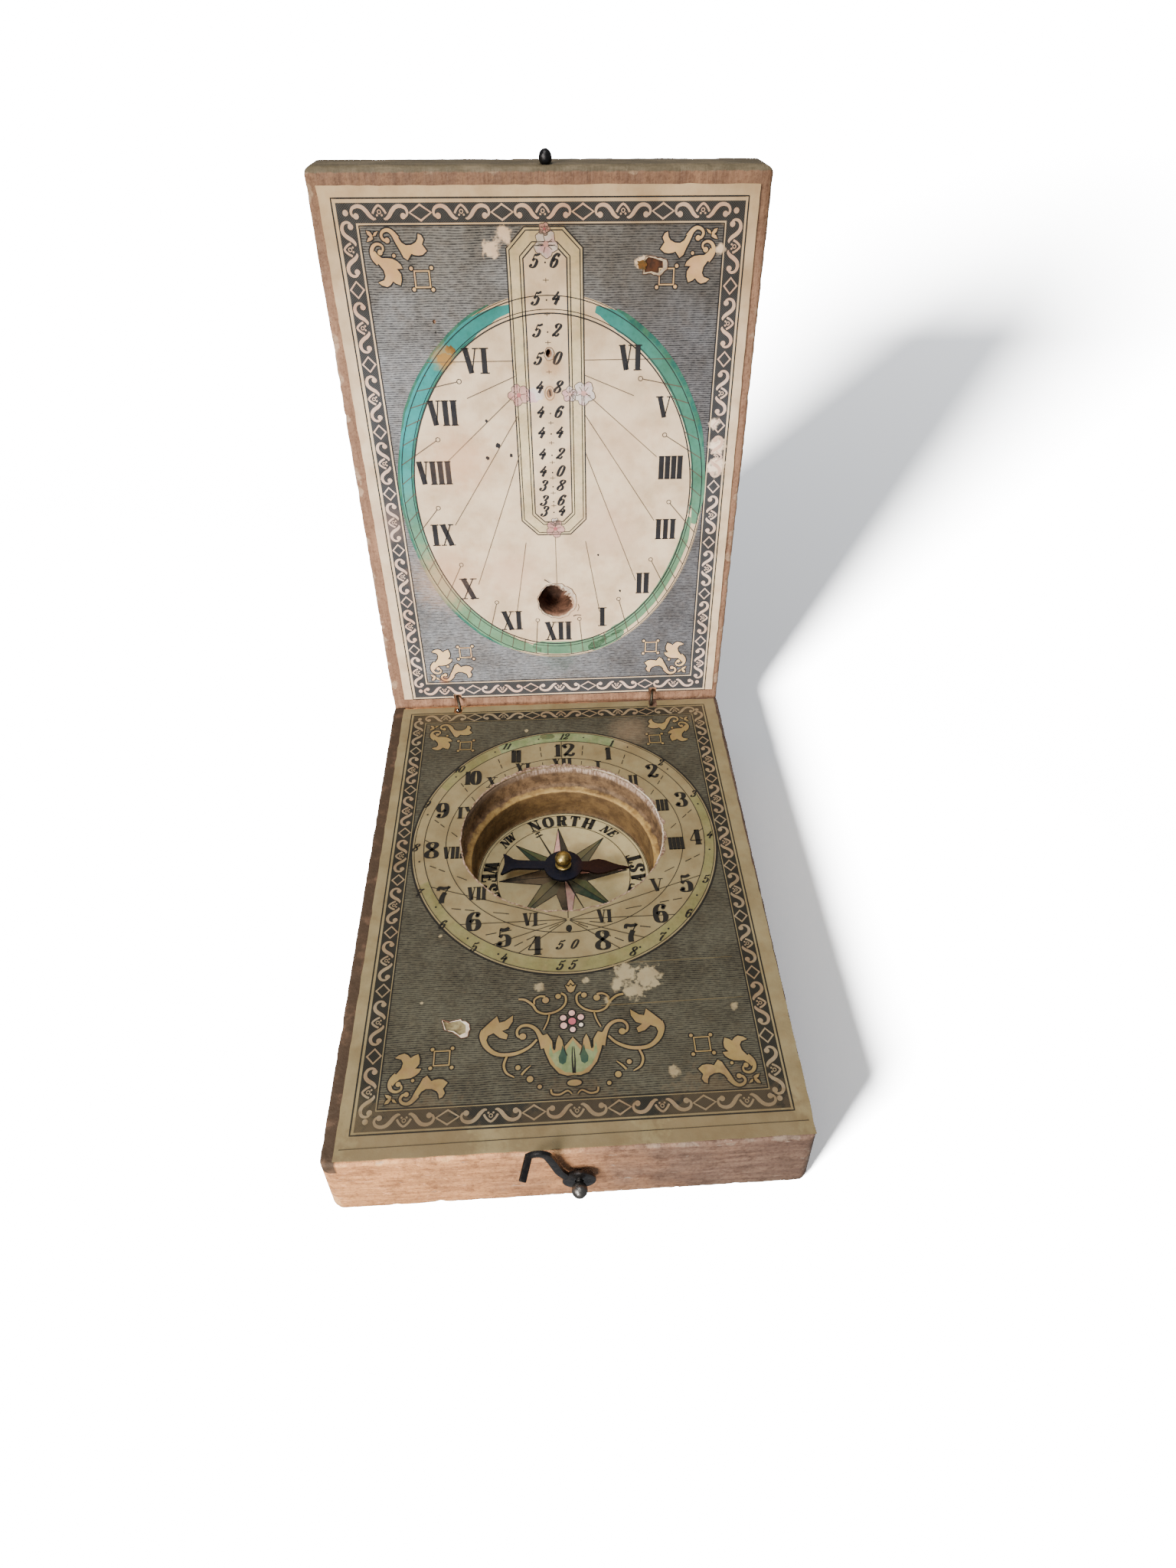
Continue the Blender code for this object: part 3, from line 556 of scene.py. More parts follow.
# Each sign is its width, then its strokes in a box one unit high. T is a thick straight stroke, n a hairline,
# p a curve swelled as by a broad pen, o the same but closed, m a curve of middling weight, and b a ball.
SIGNS = {
    "I": (0.50, [upright(0.25), head(0.03, 0.47), foot(0.03, 0.47)]),
    "V": (0.80,
          [("T", (0.18, 1), (0.42, 0.02)), ("n", (0.44, 0.02), (0.66, 1)), head(0.0, 0.36),
           head(0.52, 0.8)]),
    "X": (0.82,
          [("T", (0.2, 1), (0.62, 0)), ("n", (0.16, 0), (0.64, 1)), head(0.02, 0.38), head(0.5, 0.8),
           foot(0.02, 0.32), foot(0.44, 0.82)]),
    "0": (0.62,
          [("o", (0.3, 1), (0.13, 0.86), (0.08, 0.5), (0.13, 0.14), (0.3, 0), (0.47, 0.14), (0.52, 0.5),
            (0.47, 0.86))]),
    "1": (0.46, [("T", (0.25, 0), (0.25, 0.98)), foot(0.06, 0.44), ("n", (0.25, 0.96), (0.08, 0.8))]),
    "2": (0.64,
          [("b", (0.15, 0.74), 0.1),
           ("p", (0.08, 0.76), (0.14, 0.93), (0.32, 1), (0.48, 0.9), (0.5, 0.72), (0.36, 0.45),
            (0.12, 0.1)), ("m", (0.08, 0.05), (0.22, 0.14), (0.4, 0.06), (0.52, 0.1), (0.57, 0.26))]),
    "3": (0.64,
          [("b", (0.14, 0.78), 0.09),
           ("p", (0.08, 0.8), (0.15, 0.95), (0.3, 1), (0.46, 0.9), (0.47, 0.7), (0.36, 0.56), (0.24, 0.53)),
           ("p", (0.24, 0.53), (0.42, 0.5), (0.53, 0.3), (0.47, 0.08), (0.3, 0), (0.14, 0.06), (0.08, 0.2)),
           ("b", (0.14, 0.2), 0.1)]),
    "4": (0.68,
          [("n", (0.4, 0.98), (0.03, 0.3)), ("n", (0.02, 0.28), (0.66, 0.28)),
           ("T", (0.44, 0.98), (0.44, 0)), foot(0.26, 0.62)]),
    "5": (0.62,
          [("n", (0.14, 0.94), (0.12, 0.5)), ("m", (0.13, 0.94), (0.28, 0.9), (0.42, 0.93), (0.54, 1.0)),
           ("p", (0.12, 0.5), (0.26, 0.62), (0.42, 0.58), (0.52, 0.4), (0.48, 0.1), (0.3, 0), (0.14, 0.05),
            (0.08, 0.18)), ("b", (0.14, 0.18), 0.1)]),
    "6": (0.62,
          [("b", (0.45, 0.82), 0.09),
           ("p", (0.52, 0.84), (0.42, 0.98), (0.28, 0.98), (0.12, 0.78), (0.08, 0.4), (0.14, 0.1), (0.3, 0),
            (0.46, 0.1), (0.52, 0.32), (0.45, 0.54), (0.3, 0.6), (0.15, 0.46))]),
    "7": (0.60,
          [("m", (0.06, 0.76), (0.1, 0.94), (0.3, 0.9), (0.5, 0.93), (0.56, 1.0)),
           ("n", (0.56, 0.98), (0.36, 0.6)), ("p", (0.38, 0.64), (0.28, 0.4), (0.25, 0.2), (0.26, 0.02))]),
    "8": (0.62,
          [("o", (0.3, 1), (0.15, 0.93), (0.11, 0.76), (0.3, 0.54), (0.5, 0.34), (0.5, 0.1), (0.3, 0),
            (0.1, 0.1), (0.1, 0.34), (0.3, 0.54), (0.48, 0.74), (0.46, 0.93))]),
    "9": (0.62,
          [("b", (0.17, 0.18), 0.09),
           ("p", (0.1, 0.16), (0.2, 0.02), (0.34, 0.02), (0.5, 0.22), (0.54, 0.6), (0.48, 0.9), (0.32, 1),
            (0.16, 0.9), (0.1, 0.68), (0.17, 0.46), (0.32, 0.4), (0.47, 0.54))]),
    "N": (0.92,
          [("n", (0.18, 0), (0.18, 1)), ("T", (0.18, 1), (0.72, 0.02)), ("n", (0.74, 0), (0.74, 1)),
           foot(0.02, 0.34), head(0.0, 0.26), head(0.58, 0.9)]),
    "O": (0.86,
          [("o", (0.41, 1), (0.17, 0.86), (0.1, 0.5), (0.17, 0.14), (0.41, 0), (0.65, 0.14), (0.72, 0.5),
            (0.65, 0.86))]),
    "R": (0.84,
          [upright(0.2), head(0.02, 0.4),
           ("p", (0.36, 0.98), (0.58, 0.94), (0.64, 0.75), (0.56, 0.56), (0.3, 0.5)),
           ("p", (0.4, 0.5), (0.54, 0.4), (0.58, 0.12), (0.68, 0.01), (0.8, 0.08)), foot(0.02, 0.38)]),
    "T": (0.78,
          [upright(0.37), head(0.02, 0.72), ("n", (0.03, 1), (0.03, 0.72)), ("n", (0.71, 1), (0.71, 0.72)),
           foot(0.2, 0.54)]),
    "H": (0.96,
          [upright(0.2), upright(0.72), ("n", (0.2, 0.52), (0.72, 0.52)), head(0.02, 0.38),
           foot(0.02, 0.38), head(0.54, 0.9), foot(0.54, 0.9)]),
    "E": (0.78,
          [upright(0.2), head(0.02, 0.66), foot(0.02, 0.68), ("n", (0.2, 0.52), (0.5, 0.52)),
           ("n", (0.65, 0.98), (0.65, 0.7)), ("n", (0.67, 0.02), (0.67, 0.3)),
           ("n", (0.5, 0.64), (0.5, 0.4))]),
    "A": (0.86,
          [("n", (0.14, 0), (0.4, 1)), ("T", (0.4, 0.98), (0.64, 0)), ("n", (0.2, 0.32), (0.54, 0.32)),
           foot(0.0, 0.28), foot(0.46, 0.82)]),
    "S": (0.68,
          [("p", (0.54, 0.78), (0.46, 0.95), (0.3, 1), (0.14, 0.9), (0.12, 0.72), (0.3, 0.55), (0.5, 0.4),
            (0.54, 0.2), (0.44, 0.03), (0.28, 0), (0.12, 0.08), (0.06, 0.26)), ("b", (0.5, 0.76), 0.07),
           ("b", (0.1, 0.24), 0.08)]),
    "W": (1.16,
          [("T", (0.16, 1), (0.36, 0.02)), ("n", (0.37, 0.02), (0.56, 0.9)),
           ("T", (0.54, 0.98), (0.76, 0.02)), ("n", (0.77, 0.02), (0.98, 1)), head(0.0, 0.32),
           head(0.82, 1.12)]),
    "q": (0.66,
          [("m", (0.34, 1.0), (0.26, 0.72), (0.06, 0.42)), ("m", (0.04, 0.4), (0.3, 0.44), (0.66, 0.42)),
           ("T", (0.5, 0.66), (0.44, 0.0))]),
    ".": (0.34, [("b", (0.15, 0.36), 0.07)]),
}


def write(page, text, x, y, height, width=None, thick=0.2, thin=0.05, lean=0.0, turn=0.0):
    """Writes centred on (x, y). Width, if given, stretches the text. Lean slants it, and turn rotates it."""
    total = sum(SIGNS[sign][0] for sign in text)
    stretch = (width / height / total) if width else 1.0
    pen_x = -total / 2
    for sign in text:
        advance, strokes = SIGNS["q" if sign == "4" and lean else sign]

        def placed(point):
            u = (pen_x + point[0]) * stretch + lean * (point[1] - 0.5)
            v = point[1] - 0.5
            along = u * cos(turn) - v * sin(turn)
            up = u * sin(turn) + v * cos(turn)
            return x + height * along, y + height * up

        for stroke in strokes:
            form, points = stroke[0], stroke[1:]
            if form == "b":
                page.dot("ink", 6, *placed(points[0]), height * points[1] * (thick / 0.2) ** 0.5, count=10)
                continue
            closed = form == "o"
            if form in "pom":
                points = smooth(points, 4, closed)
            line = dense([placed(p) for p in points], 0.3, closed)
            if form in "Tn":
                page.line("ink", 6, line, height * (thick if form == "T" else thin))
                continue
            widths = []
            for i in range(len(line)):
                a, b = neighbours(line, i, closed)
                heading = atan2(b[1] - a[1], b[0] - a[0]) - turn
                swell = abs(sin(heading + lean * 0.6)) ** 1.6 if form in "po" else 0.55
                widths.append(height * (thin + (thick - thin) * swell))
            page.line("ink", 6, line, 0, closed=closed, widths=widths)
        pen_x += advance


# ---------------------------------------------------------------- ornament

def turned(points, x, y, turn, flip=1.0, along=1.0):
    """Points stretched along, perhaps mirrored, turned, and moved."""
    out = []
    for u, v in points:
        u *= along * flip
        out.append((x + u * cos(turn) - v * sin(turn), y + u * sin(turn) + v * cos(turn)))
    return out


SCROLL = [(-3.38, -0.5), (-3.8, -0.4), (-4.0, 0.05), (-3.75, 0.58), (-3.1, 0.84), (-2.4, 0.72),
          (-1.85, 0.25), (-1.4, -0.35), (-0.9, -0.75), (-0.55, -0.72)]
SCROLL_WIDTHS = [0.27, 0.3, 0.35, 0.42, 0.48, 0.53, 0.56, 0.53, 0.38, 0.15]
ARCH = [(-0.95, -0.1), (-0.62, 0.45), (0, 0.93), (0.62, 0.45), (0.95, -0.1)]


def spread(values, per):
    """Values at the control points, shared out along the smoothed line."""
    out = []
    for a, b in zip(values, values[1:]):
        out += [a + (b - a) * j / per for j in range(per)]
    return out + [values[-1]]


def scroll_pair(page, x, y, turn, along=1.0):
    per = 3
    widths = spread(SCROLL_WIDTHS, per)
    for flip in (1.0, -1.0):
        page.line("reserve", 3, turned(smooth(SCROLL, per), x, y, turn, flip, along), 0, widths=widths)
        page.dot("reserve", 3.2, *turned([(-3.36, -0.42)], x, y, turn, flip, along)[0], 0.4, count=12)
        page.dot("reserve", 3.2, *turned([(-0.34, -0.3)], x, y, turn, flip, along)[0], 0.15, count=8)
    page.line("reserve", 3.1, turned(smooth(ARCH, per), x, y, turn, 1.0, along), 0.3)
    page.ring("reserve", 3.1, *turned([(0, 0.12)], x, y, turn)[0], 0.24, 0.24, 0.12, count=12)


def diamond(page, x, y, turn, half_long, half_wide):
    outline = turned([(-half_long, 0), (0, -half_wide), (half_long, 0), (0, half_wide)], x, y, turn)
    page.line("reserve", 3, outline, 0.3, closed=True)


SIDE_STEP = 10.72


def border(page, band_left, band_right, band_low, band_high, top_step, across_middle, up_middle):
    """Scroll pairs and diamonds round the frame, arching outwards, with a dot in each corner."""
    bands = (
        (band_high, 0.0, top_step, True), (band_low, pi, top_step, True),
        (band_left, pi / 2, SIDE_STEP, False), (band_right, -pi / 2, SIDE_STEP, False),
    )
    for place, turn, step, across in bands:
        count = 5 if across else 8
        centre = across_middle if across else up_middle
        for i in range(count):
            offset = (i - (count - 1) / 2) * step
            x, y = (centre + offset, place) if across else (place, centre + offset)
            scroll_pair(page, x, y, turn, 1.0 if across else 0.88)
            if i < count - 1:
                x, y = (x + step / 2, y) if across else (x, y + step / 2)
                diamond(page, x, y, turn, 1.55 if across else 1.12, 1.0)
    for x in (band_left, band_right):
        for y in (band_low, band_high):
            page.dot("reserve", 3, x, y, 0.4)


TRUMPET_CURL = [(3.75, 1.95), (3.25, 1.85), (2.98, 1.33), (3.25, 0.82), (3.95, 0.6), (4.6, 0.95), (5.2, 1.75)]
TRUMPET = [(4.4, 0.75), (4.9, 0.95), (5.4, 1.6), (5.8, 2.25), (6.4, 2.6), (7.2, 2.55), (7.9, 2.2),
           (8.2, 1.75), (8.3, 1.1), (8.75, 1.3), (9.05, 1.85), (8.75, 2.5), (9.35, 3.35), (8.7, 3.85),
           (8.05, 3.95), (7.4, 3.85), (7.05, 3.7), (6.4, 4.55), (5.85, 4.15), (5.5, 3.35), (5.05, 2.5),
           (4.7, 1.75)]
LEAF_CURL = [(2.5, 3.5), (2.95, 3.2), (2.9, 2.65), (2.25, 2.4), (1.6, 2.7), (1.3, 3.4), (1.5, 4.2),
             (2.1, 4.9)]
LEAF = [(1.15, 3.85), (1.55, 4.5), (2.15, 5.1), (2.7, 5.85), (2.85, 6.65), (2.55, 7.2), (1.65, 7.5),
        (2.15, 7.9), (2.9, 8.1), (3.4, 7.85), (3.85, 7.35), (4.25, 7.65), (4.9, 7.9), (5.15, 7.15),
        (5.15, 6.4), (4.8, 5.9), (4.6, 5.7), (5.5, 5.65), (5.25, 5.1), (4.75, 4.65), (4.15, 4.35),
        (3.4, 4.25), (2.65, 4.25), (2.05, 3.75), (1.75, 3.3)]
SPRIG = [[(0.8, 2.1), (1.1, 1.6), (1.7, 1.35), (1.75, 1.75), (1.3, 2.0)],
         [(0.9, 0.7), (1.4, 0.8), (1.75, 1.3), (1.4, 1.5), (1.05, 1.15)],
         [(2.6, 0.75), (2.2, 1.3), (1.8, 1.4), (2.0, 0.95)]]


def corner(page, x, y, across, down):
    """A spray of two flowers and a little square, set in from a corner of the field."""
    def put(points):
        placed = [(x + across * u, y + down * v) for u, v in points]
        return placed if across * down > 0 else placed[::-1]

    for curl, widths in ((TRUMPET_CURL, (0.34, 0.36, 0.36, 0.4, 0.46, 0.6, 0.8)),
                         (LEAF_CURL, (0.24, 0.26, 0.3, 0.36, 0.46, 0.55, 0.7, 0.8))):
        line = put(smooth(curl, 4))
        widths = spread(widths, 4)
        if across * down < 0:
            widths = widths[::-1]
        page.line("ink", 2, line, 0, widths=[w + 0.4 for w in widths])
        page.line("bloom", 3, line, 0, widths=widths)
        page.dot("ink", 2.3, *put([curl[0]])[0], 0.55)
        page.dot("bloom", 3.5, *put([curl[0]])[0], 0.36)
    for outline in (TRUMPET, LEAF, *SPRIG):
        page.reserve("bloom", put(outline))
    page.dot("ink", 2, *put([(4.45, 3.95)])[0], 0.4)
    page.dot("bloom", 3, *put([(4.45, 3.95)])[0], 0.24)
    square = put([(7.15, 6.0), (9.35, 6.0), (9.35, 8.2), (7.15, 8.2)])
    page.line("ink", 2, square, 0.62, closed=True)
    page.line("bloom", 3, square, 0.26, closed=True)
    for u, v in ((6.75, 5.65), (9.75, 5.6), (6.85, 8.5), (9.7, 8.55)):
        page.dot("ink", 2, *put([(u, v)])[0], 0.46)
        page.dot("bloom", 3, *put([(u, v)])[0], 0.27)


def rectangle(left, right, low, high):
    return [(left, low), (right, low), (right, high), (left, high)]


def frame_line(page, kind, layer, left, right, low, high, width):
    page.line(kind, layer, dense(rectangle(left, right, low, high), 0.9, closed=True), width, closed=True)


def wobbled(outline, amount, longest=1.5, seed=0.0):
    """A cut edge that isn't quite straight."""
    out = []
    for x, y in dense(outline, longest, closed=True):
        aside, up = [noise.noise(Vector((x * 0.5, y * 0.5, place))) for place in (seed, seed + 9)]
        out.append((x + amount * aside, y + amount * up))
    return out


RINGS = [(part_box(name)[0].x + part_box(name)[1].x) / 2 / MM - PRINT_X / MM
         for name in ("hinge_ring_left", "hinge_ring_right")]
ring_low, ring_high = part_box("hinge_ring_left")
NOTCH_DEEP = (ring_high.z - ring_low.z) / 2 / MM + 0.4 + 0.15
NOTCH_HALF = (ring_high.x - ring_low.x) / 2 / MM + 0.4


def notched(left, right, near, far, sign):
    """A sheet's edge with room for the two hinge rings. Near is the hinge side, and sign points away."""
    deep = sign * NOTCH_DEEP
    outline = [(left, far), (right, far), (right, near)]
    for x in sorted(RINGS, reverse=True):
        if (deep - near) * sign > 0:
            outline += [(x + NOTCH_HALF, near), (x + NOTCH_HALF, deep), (x - NOTCH_HALF, deep),
                        (x - NOTCH_HALF, near)]
    return outline + [(left, near)]


UNBROKEN = 9.0


def spoke(page, kind, origin, heading, near, far, width, longest=1.0):
    """A straight stroke that points away from the origin, between two distances from it."""
    ends = [(origin[0] + heading[0] * reach, origin[1] + heading[1] * reach) for reach in (near, far)]
    page.line(kind, 5, dense(ends, longest), width)


def ring_gaps(sign):
    deep = sign * NOTCH_DEEP
    return [rectangle(x - NOTCH_HALF, x + NOTCH_HALF, min(0, deep), max(0, deep)) for x in RINGS]


# ---------------------------------------------------------------- the lid's print

LID_END = min((LID_FRAME.inverted() @ v.co).y for v in frame["nodes"]["lid_leaf"].data.vertices) / MM
BOB_MIDDLE = (0.6, -23.9)
BOB = ragged(0.25, 23.85, 3.45, 3.5, 0.06, 48, 1.0)
LID_STRING = ragged(0.42, 68.6, 0.52, 0.68, 0.15, 16, 2.0)
DIMPLE = ragged(0.35, 62.4, 0.5, 0.75, 0.2, 16, 3.0)
LID_TEAR = [(15.25, 81.5), (15.9, 82.1), (16.9, 81.9), (18.1, 81.5), (18.15, 80.6), (17.4, 79.9),
            (16.4, 80.15), (15.4, 80.0)]
PINHOLE = ragged(-17.1, 73.45, 0.28, 0.3, 0.15, 10, 4.0)

LID_SHEET = Sheet("lid", (0.80, 0.62, 0.42), (0.018, 0.018, 0.022),
                  ((0.385, 0.392, 0.415), (0.024, 0.026, 0.030)),
                  [(-16.3, 68.0, 1.7, 0.9, (0.40, 0.22, 0.06), 0.75),
                   (-23.0, 6.3, 0.9, 0.5, (0.45, 0.17, 0.07), 0.8),
                   (-15.5, 51.5, 4.5, 3.5, (0.62, 0.34, 0.19), 0.6),
                   (-20.0, 29.0, 5.0, 4.0, (0.62, 0.35, 0.20), 0.6),
                   (-8.0, 30.0, 4.0, 3.5, (0.66, 0.40, 0.26), 0.5),
                   (13.0, 54.0, 4.0, 3.5, (0.66, 0.44, 0.28), 0.35),
                   (10.0, 38.0, 5.0, 4.0, (0.60, 0.38, 0.26), 0.45),
                   (1.0, 66.4, 1.5, 0.9, (0.5, 0.28, 0.14), 0.6),
                   (0.4, 62.4, 1.4, 0.7, (0.50, 0.30, 0.18), 0.55),
                   (3.5, 21.5, 3.2, 1.5, (0.58, 0.36, 0.22), 0.45),
                   (0.3, 11.0, 3.2, 1.0, (0.03, 0.10, 0.07), 0.35),
                   (-29.5, 40.0, 3.0, 2.0, (0.55, 0.36, 0.30), 0.3)],
                  [(-7.6, 83.3, 1.1, 0.7), (-5.6, 85.2, 1.0, 0.8), (28.8, 53.0, 1.3, 1.0),
                   (29.0, 49.5, 1.4, 1.0), (28.0, 57.0, 0.8, 0.7), (26.7, 83.0, 0.6, 0.6),
                   (14.9, 81.4, 0.8, 0.5)], browned_and_shaded_from=56.0, painted_shade_right=1.0)


LATITUDE = radians(50)
OVAL_X, OVAL_Y, OVAL_WIDE = 0.45, 45.2, 25.2


def oval_tall(below):
    """The lid's oval is taller below its middle than above."""
    return 32.5 if below else 30.7


def dial_point(angle, share):
    """A point on the lid's oval. Share 1 is the middle of its coloured ring."""
    tall = oval_tall(sin(angle) < 0)
    return OVAL_X + share * OVAL_WIDE * cos(angle), OVAL_Y + share * tall * sin(angle)


def dial_oval(share, count=160):
    return [dial_point(2 * pi * i / count, share) for i in range(count)]


def oval_reach(origin, heading, share):
    """How far it is along a heading to the lid's oval."""
    reach = 20.0
    while reach < 70:
        x, y = origin[0] + heading[0] * reach, origin[1] + heading[1] * reach
        if hypot((x - OVAL_X) / (OVAL_WIDE * share), (y - OVAL_Y) / (oval_tall(y < OVAL_Y) * share)) >= 1:
            break
        reach += 0.1
    return reach


def colour_band(page, kind, layer, start, end, inner, outer, seed):
    """A brushed band along the oval, from a hand that didn't keep within the lines."""
    count = max(8, int(abs(end - start) / 2))
    rows = []
    for i in range(count + 1):
        t = i / count
        angle = radians(start + (end - start) * t)
        ease = min(1.0, 6 * t + 0.35, 6 * (1 - t) + 0.35)
        wave = 0.011 * noise.noise(Vector((2.5 * angle, seed, 0)))
        fray = 0.006 * noise.noise(Vector((14 * angle, seed, 5)))
        middle = (inner + outer) / 2 + wave
        half = (outer - inner) / 2 * ease
        rows.append((dial_point(angle, middle - half + fray), dial_point(angle, middle + half + fray / 2)))
    page.area(kind, layer, [a for a, _ in rows] + [b for _, b in reversed(rows)])


def blossom(page, x, y, radius, kind, seed):
    """A loose flower head, its petals outlined here and there."""
    petals = []
    for i in range(50):
        a = 2 * pi * i / 50
        k = 0.72 + 0.28 * abs(cos(2.5 * a + seed)) + 0.10 * round_noise(a, 4, seed)
        petals.append((x + radius * k * cos(a), y + radius * k * sin(a)))
    page.area(kind, 5, petals)
    page.line("faint", 6, petals, 0.11, closed=True)
    for i in range(5):
        a = 2 * pi * i / 5 + seed
        ends = [(x + share * radius * cos(a), y + share * radius * sin(a)) for share in (0.2, 0.62)]
        page.line("faint", 6, ends, 0.11)
    page.dot("rose" if kind == "pink" else "pink", 6, x, y, radius * 0.2)


def cartouche(offset):
    """The panel's outline, set in from its edge."""
    cut = 2.8 - 0.45 * offset
    left, right, low, high = -5.45 + offset, 6.1 - offset, 37.45 + offset, 86.25 - offset
    return [(left, low + cut), (left + cut, low), (right - cut, low), (right, low + cut),
            (right, high - cut), (right - cut, high), (left + cut, high), (left, high - cut)]


def draw_lid():
    """The upright dial and its latitude panel. Returns the sheet, which stands for the CAD paper."""
    holes = [BOB, LID_STRING, DIMPLE, LID_TEAR, PINHOLE]
    page = Page("lid_print", LID_PLACE, "lid", LID_SHEET, holes)
    paper = Page("lid_paper", LID_PLACE, "lid", LID_SHEET, holes)
    paper.area("paper", 0, wobbled(notched(-31.6, 31.95, 1.75, 91.4, 1.0), 0.16, 1.5, 3.0), foot=-0.16)
    page.holes = holes + ring_gaps(1.0)
    page.area("border", 1, notched(-29.3, 29.98, 2.15, 89.3, 1.0), [rectangle(-26.8, 27.35, 5.35, 86.75)],
              keep_holes=False)
    page.area("field", 1, rectangle(-26.3, 26.95, 5.8, 86.3), [cartouche(-0.05)])
    for line in ((-29.85, 30.4, 1.75, 89.88, 0.2), (-26.42, 27.05, 5.7, 86.42, 0.2)):
        frame_line(page, "ink", 2, *line)
    border(page, -28.05, 28.7, 3.75, 88.05, 11.75, 0.25, 45.85)
    for across, down, x, y in ((1, -1, -26.4, 86.5), (-1, -1, 27.0, 86.5), (1, 1, -26.4, 5.6),
                               (-1, 1, 27.0, 5.6)):
        corner(page, x, y, across, down)

    page.area("paper", 1.9, dial_oval(1.052))
    page.area("paper", 2.6, cartouche(0.0))
    page.line("ink", 3, dense(dial_oval(1.048), 0.8, True), 0.10, closed=True)
    colour_band(page, "teal", 3.4, 103, 262, 0.957, 1.058, 1.0)
    colour_band(page, "teal", 3.4, 258, 292, 0.945, 1.03, 2.0)
    colour_band(page, "teal", 3.4, 290, 351, 0.945, 1.010, 3.0)
    colour_band(page, "teal", 3.4, -11, 73, 0.965, 1.060, 4.0)
    colour_band(page, "teal", 3.4, 283, 300, 0.985, 1.045, 6.0)
    for start, end, inner, outer, seed in ((14, 66, 1.045, 1.072, 11.0), (110, 160, 1.052, 1.066, 12.0),
                                           (165, 245, 1.048, 1.064, 13.0), (118, 190, 0.957, 0.966, 14.0),
                                           (-8, 40, 0.965, 0.975, 15.0)):
        colour_band(page, "pool", 3.9, start, end, inner, outer, seed)
    for share, width in ((1.036, 0.14), (0.972, 0.12), (0.954, 0.2)):
        page.line("ink", 5, dense(dial_oval(share), 0.5, True), width, closed=True)
    page.area("straw", 4.2, cartouche(0.0), [cartouche(2.5)])
    page.area("paper", 4.2, cartouche(2.5))
    for offset, width in ((0.06, 0.2), (0.5, 0.16), (2.02, 0.16), (2.5, 0.2)):
        page.line("ink", 5, dense(cartouche(offset), 0.8, True), width, closed=True)

    origin = ox, oy = 0.5, 67.5
    steep = cos(LATITUDE)
    ends = {1: 47.0, 2: 42.4, 3: 33.0, 4: 24.0, 5: 14.8}
    for side in (-1, 1):
        for hour, far in ends.items():
            turn = atan2(steep * sin(radians(15 * hour)), cos(radians(15 * hour)))
            dx, dy = side * sin(turn), -cos(turn)
            start = min(5.6 / max(abs(dx), 0.001), 31.5 / abs(dy))
            spoke(page, "faint", origin, (dx, dy), start, far, 0.12)
        spoke(page, "faint", origin, (side, 0), 5.7, 19.6, 0.12)
        for quarter in range(1, 24):
            turn = atan2(steep * sin(radians(3.75 * quarter)), cos(radians(3.75 * quarter)))
            dx, dy = side * sin(turn), -cos(turn)
            inner, outer = [oval_reach(origin, (dx, dy), share) for share in (0.954, 1.036)]
            inner -= 4.6 if quarter % 4 == 2 else 0.0
            spoke(page, "faint", origin, (dx, dy), inner, outer, 0.15, 0.8)
            if quarter % 4 == 2:
                page.ring("ink", 5, ox + dx * (inner - 0.4), oy + dy * (inner - 0.4), 0.36, 0.36, 0.11,
                          count=14)
    page.line("faint", 5, dense([(0.42, 37.2), (0.42, 27.6)], 1.0), 0.1)
    for x, y, size in ((-10.3, 58.1, 0.22), (-8.7, 54.0, 0.34), (-10.6, 51.8, 0.3), (-6.6, 52.2, 0.24),
                       (8.2, 33.2, 0.16), (12.4, 25.6, 0.2), (-17.1, 71.9, 0.12)):
        page.area("ink", 6, ragged(x, y, size, size * 1.3, 0.5, 10, x))

    hours = (("VI", -11.25, 67.6, 3.9, 4.4), ("VII", -17.3, 59.5, 4.1, 4.9),
             ("VIII", -19.85, 49.4, 4.1, 5.9), ("IX", -19.75, 37.9, 4.1, 4.2),
             ("X", -16.15, 26.9, 4.3, 3.4), ("XI", -8.5, 19.75, 4.1, 4.2), ("XII", 0.4, 17.1, 4.1, 5.4),
             ("I", 9.0, 20.0, 4.1, 1.9), ("II", 16.65, 27.1, 4.3, 2.7), ("III", 20.5, 38.0, 3.9, 3.9),
             ("IIII", 20.85, 49.5, 4.1, 4.3), ("V", 19.25, 59.85, 3.5, 2.8), ("VI", 13.5, 67.75, 3.9, 3.8))
    for text, x, y, height, width in hours:
        write(page, text, x, y, height, width, thick=0.21, thin=0.045)
    rows = (("5.6", 81.75), ("5.4", 76.6), ("5.2", 72.0), ("5.0", 67.85), ("4.8", 63.4), ("4.6", 59.4),
            ("4.4", 56.0), ("4.2", 52.35), ("4.0", 49.3), ("3.8", 46.75), ("3.6", 44.0), ("3.4", 42.0))
    for text, y in rows:
        for sign, x in ((text[0], -1.2), (text[2], 1.85)):
            write(page, sign, x, y, 1.85, thick=0.24, thin=0.08, lean=0.45)
        page.dot("ink", 6, 0.35, y - 0.25, 0.13)
    for y in (79.1, 74.35, 70.2, 65.75, 57.6, 54.25, 50.85, 48.1, 45.35, 43.0):
        for dx, dy in ((0.45, 0), (0, 0.3)):
            page.line("faint", 6, [(0.35 - dx, y - dy), (0.35 + dx, y + dy)], 0.1)

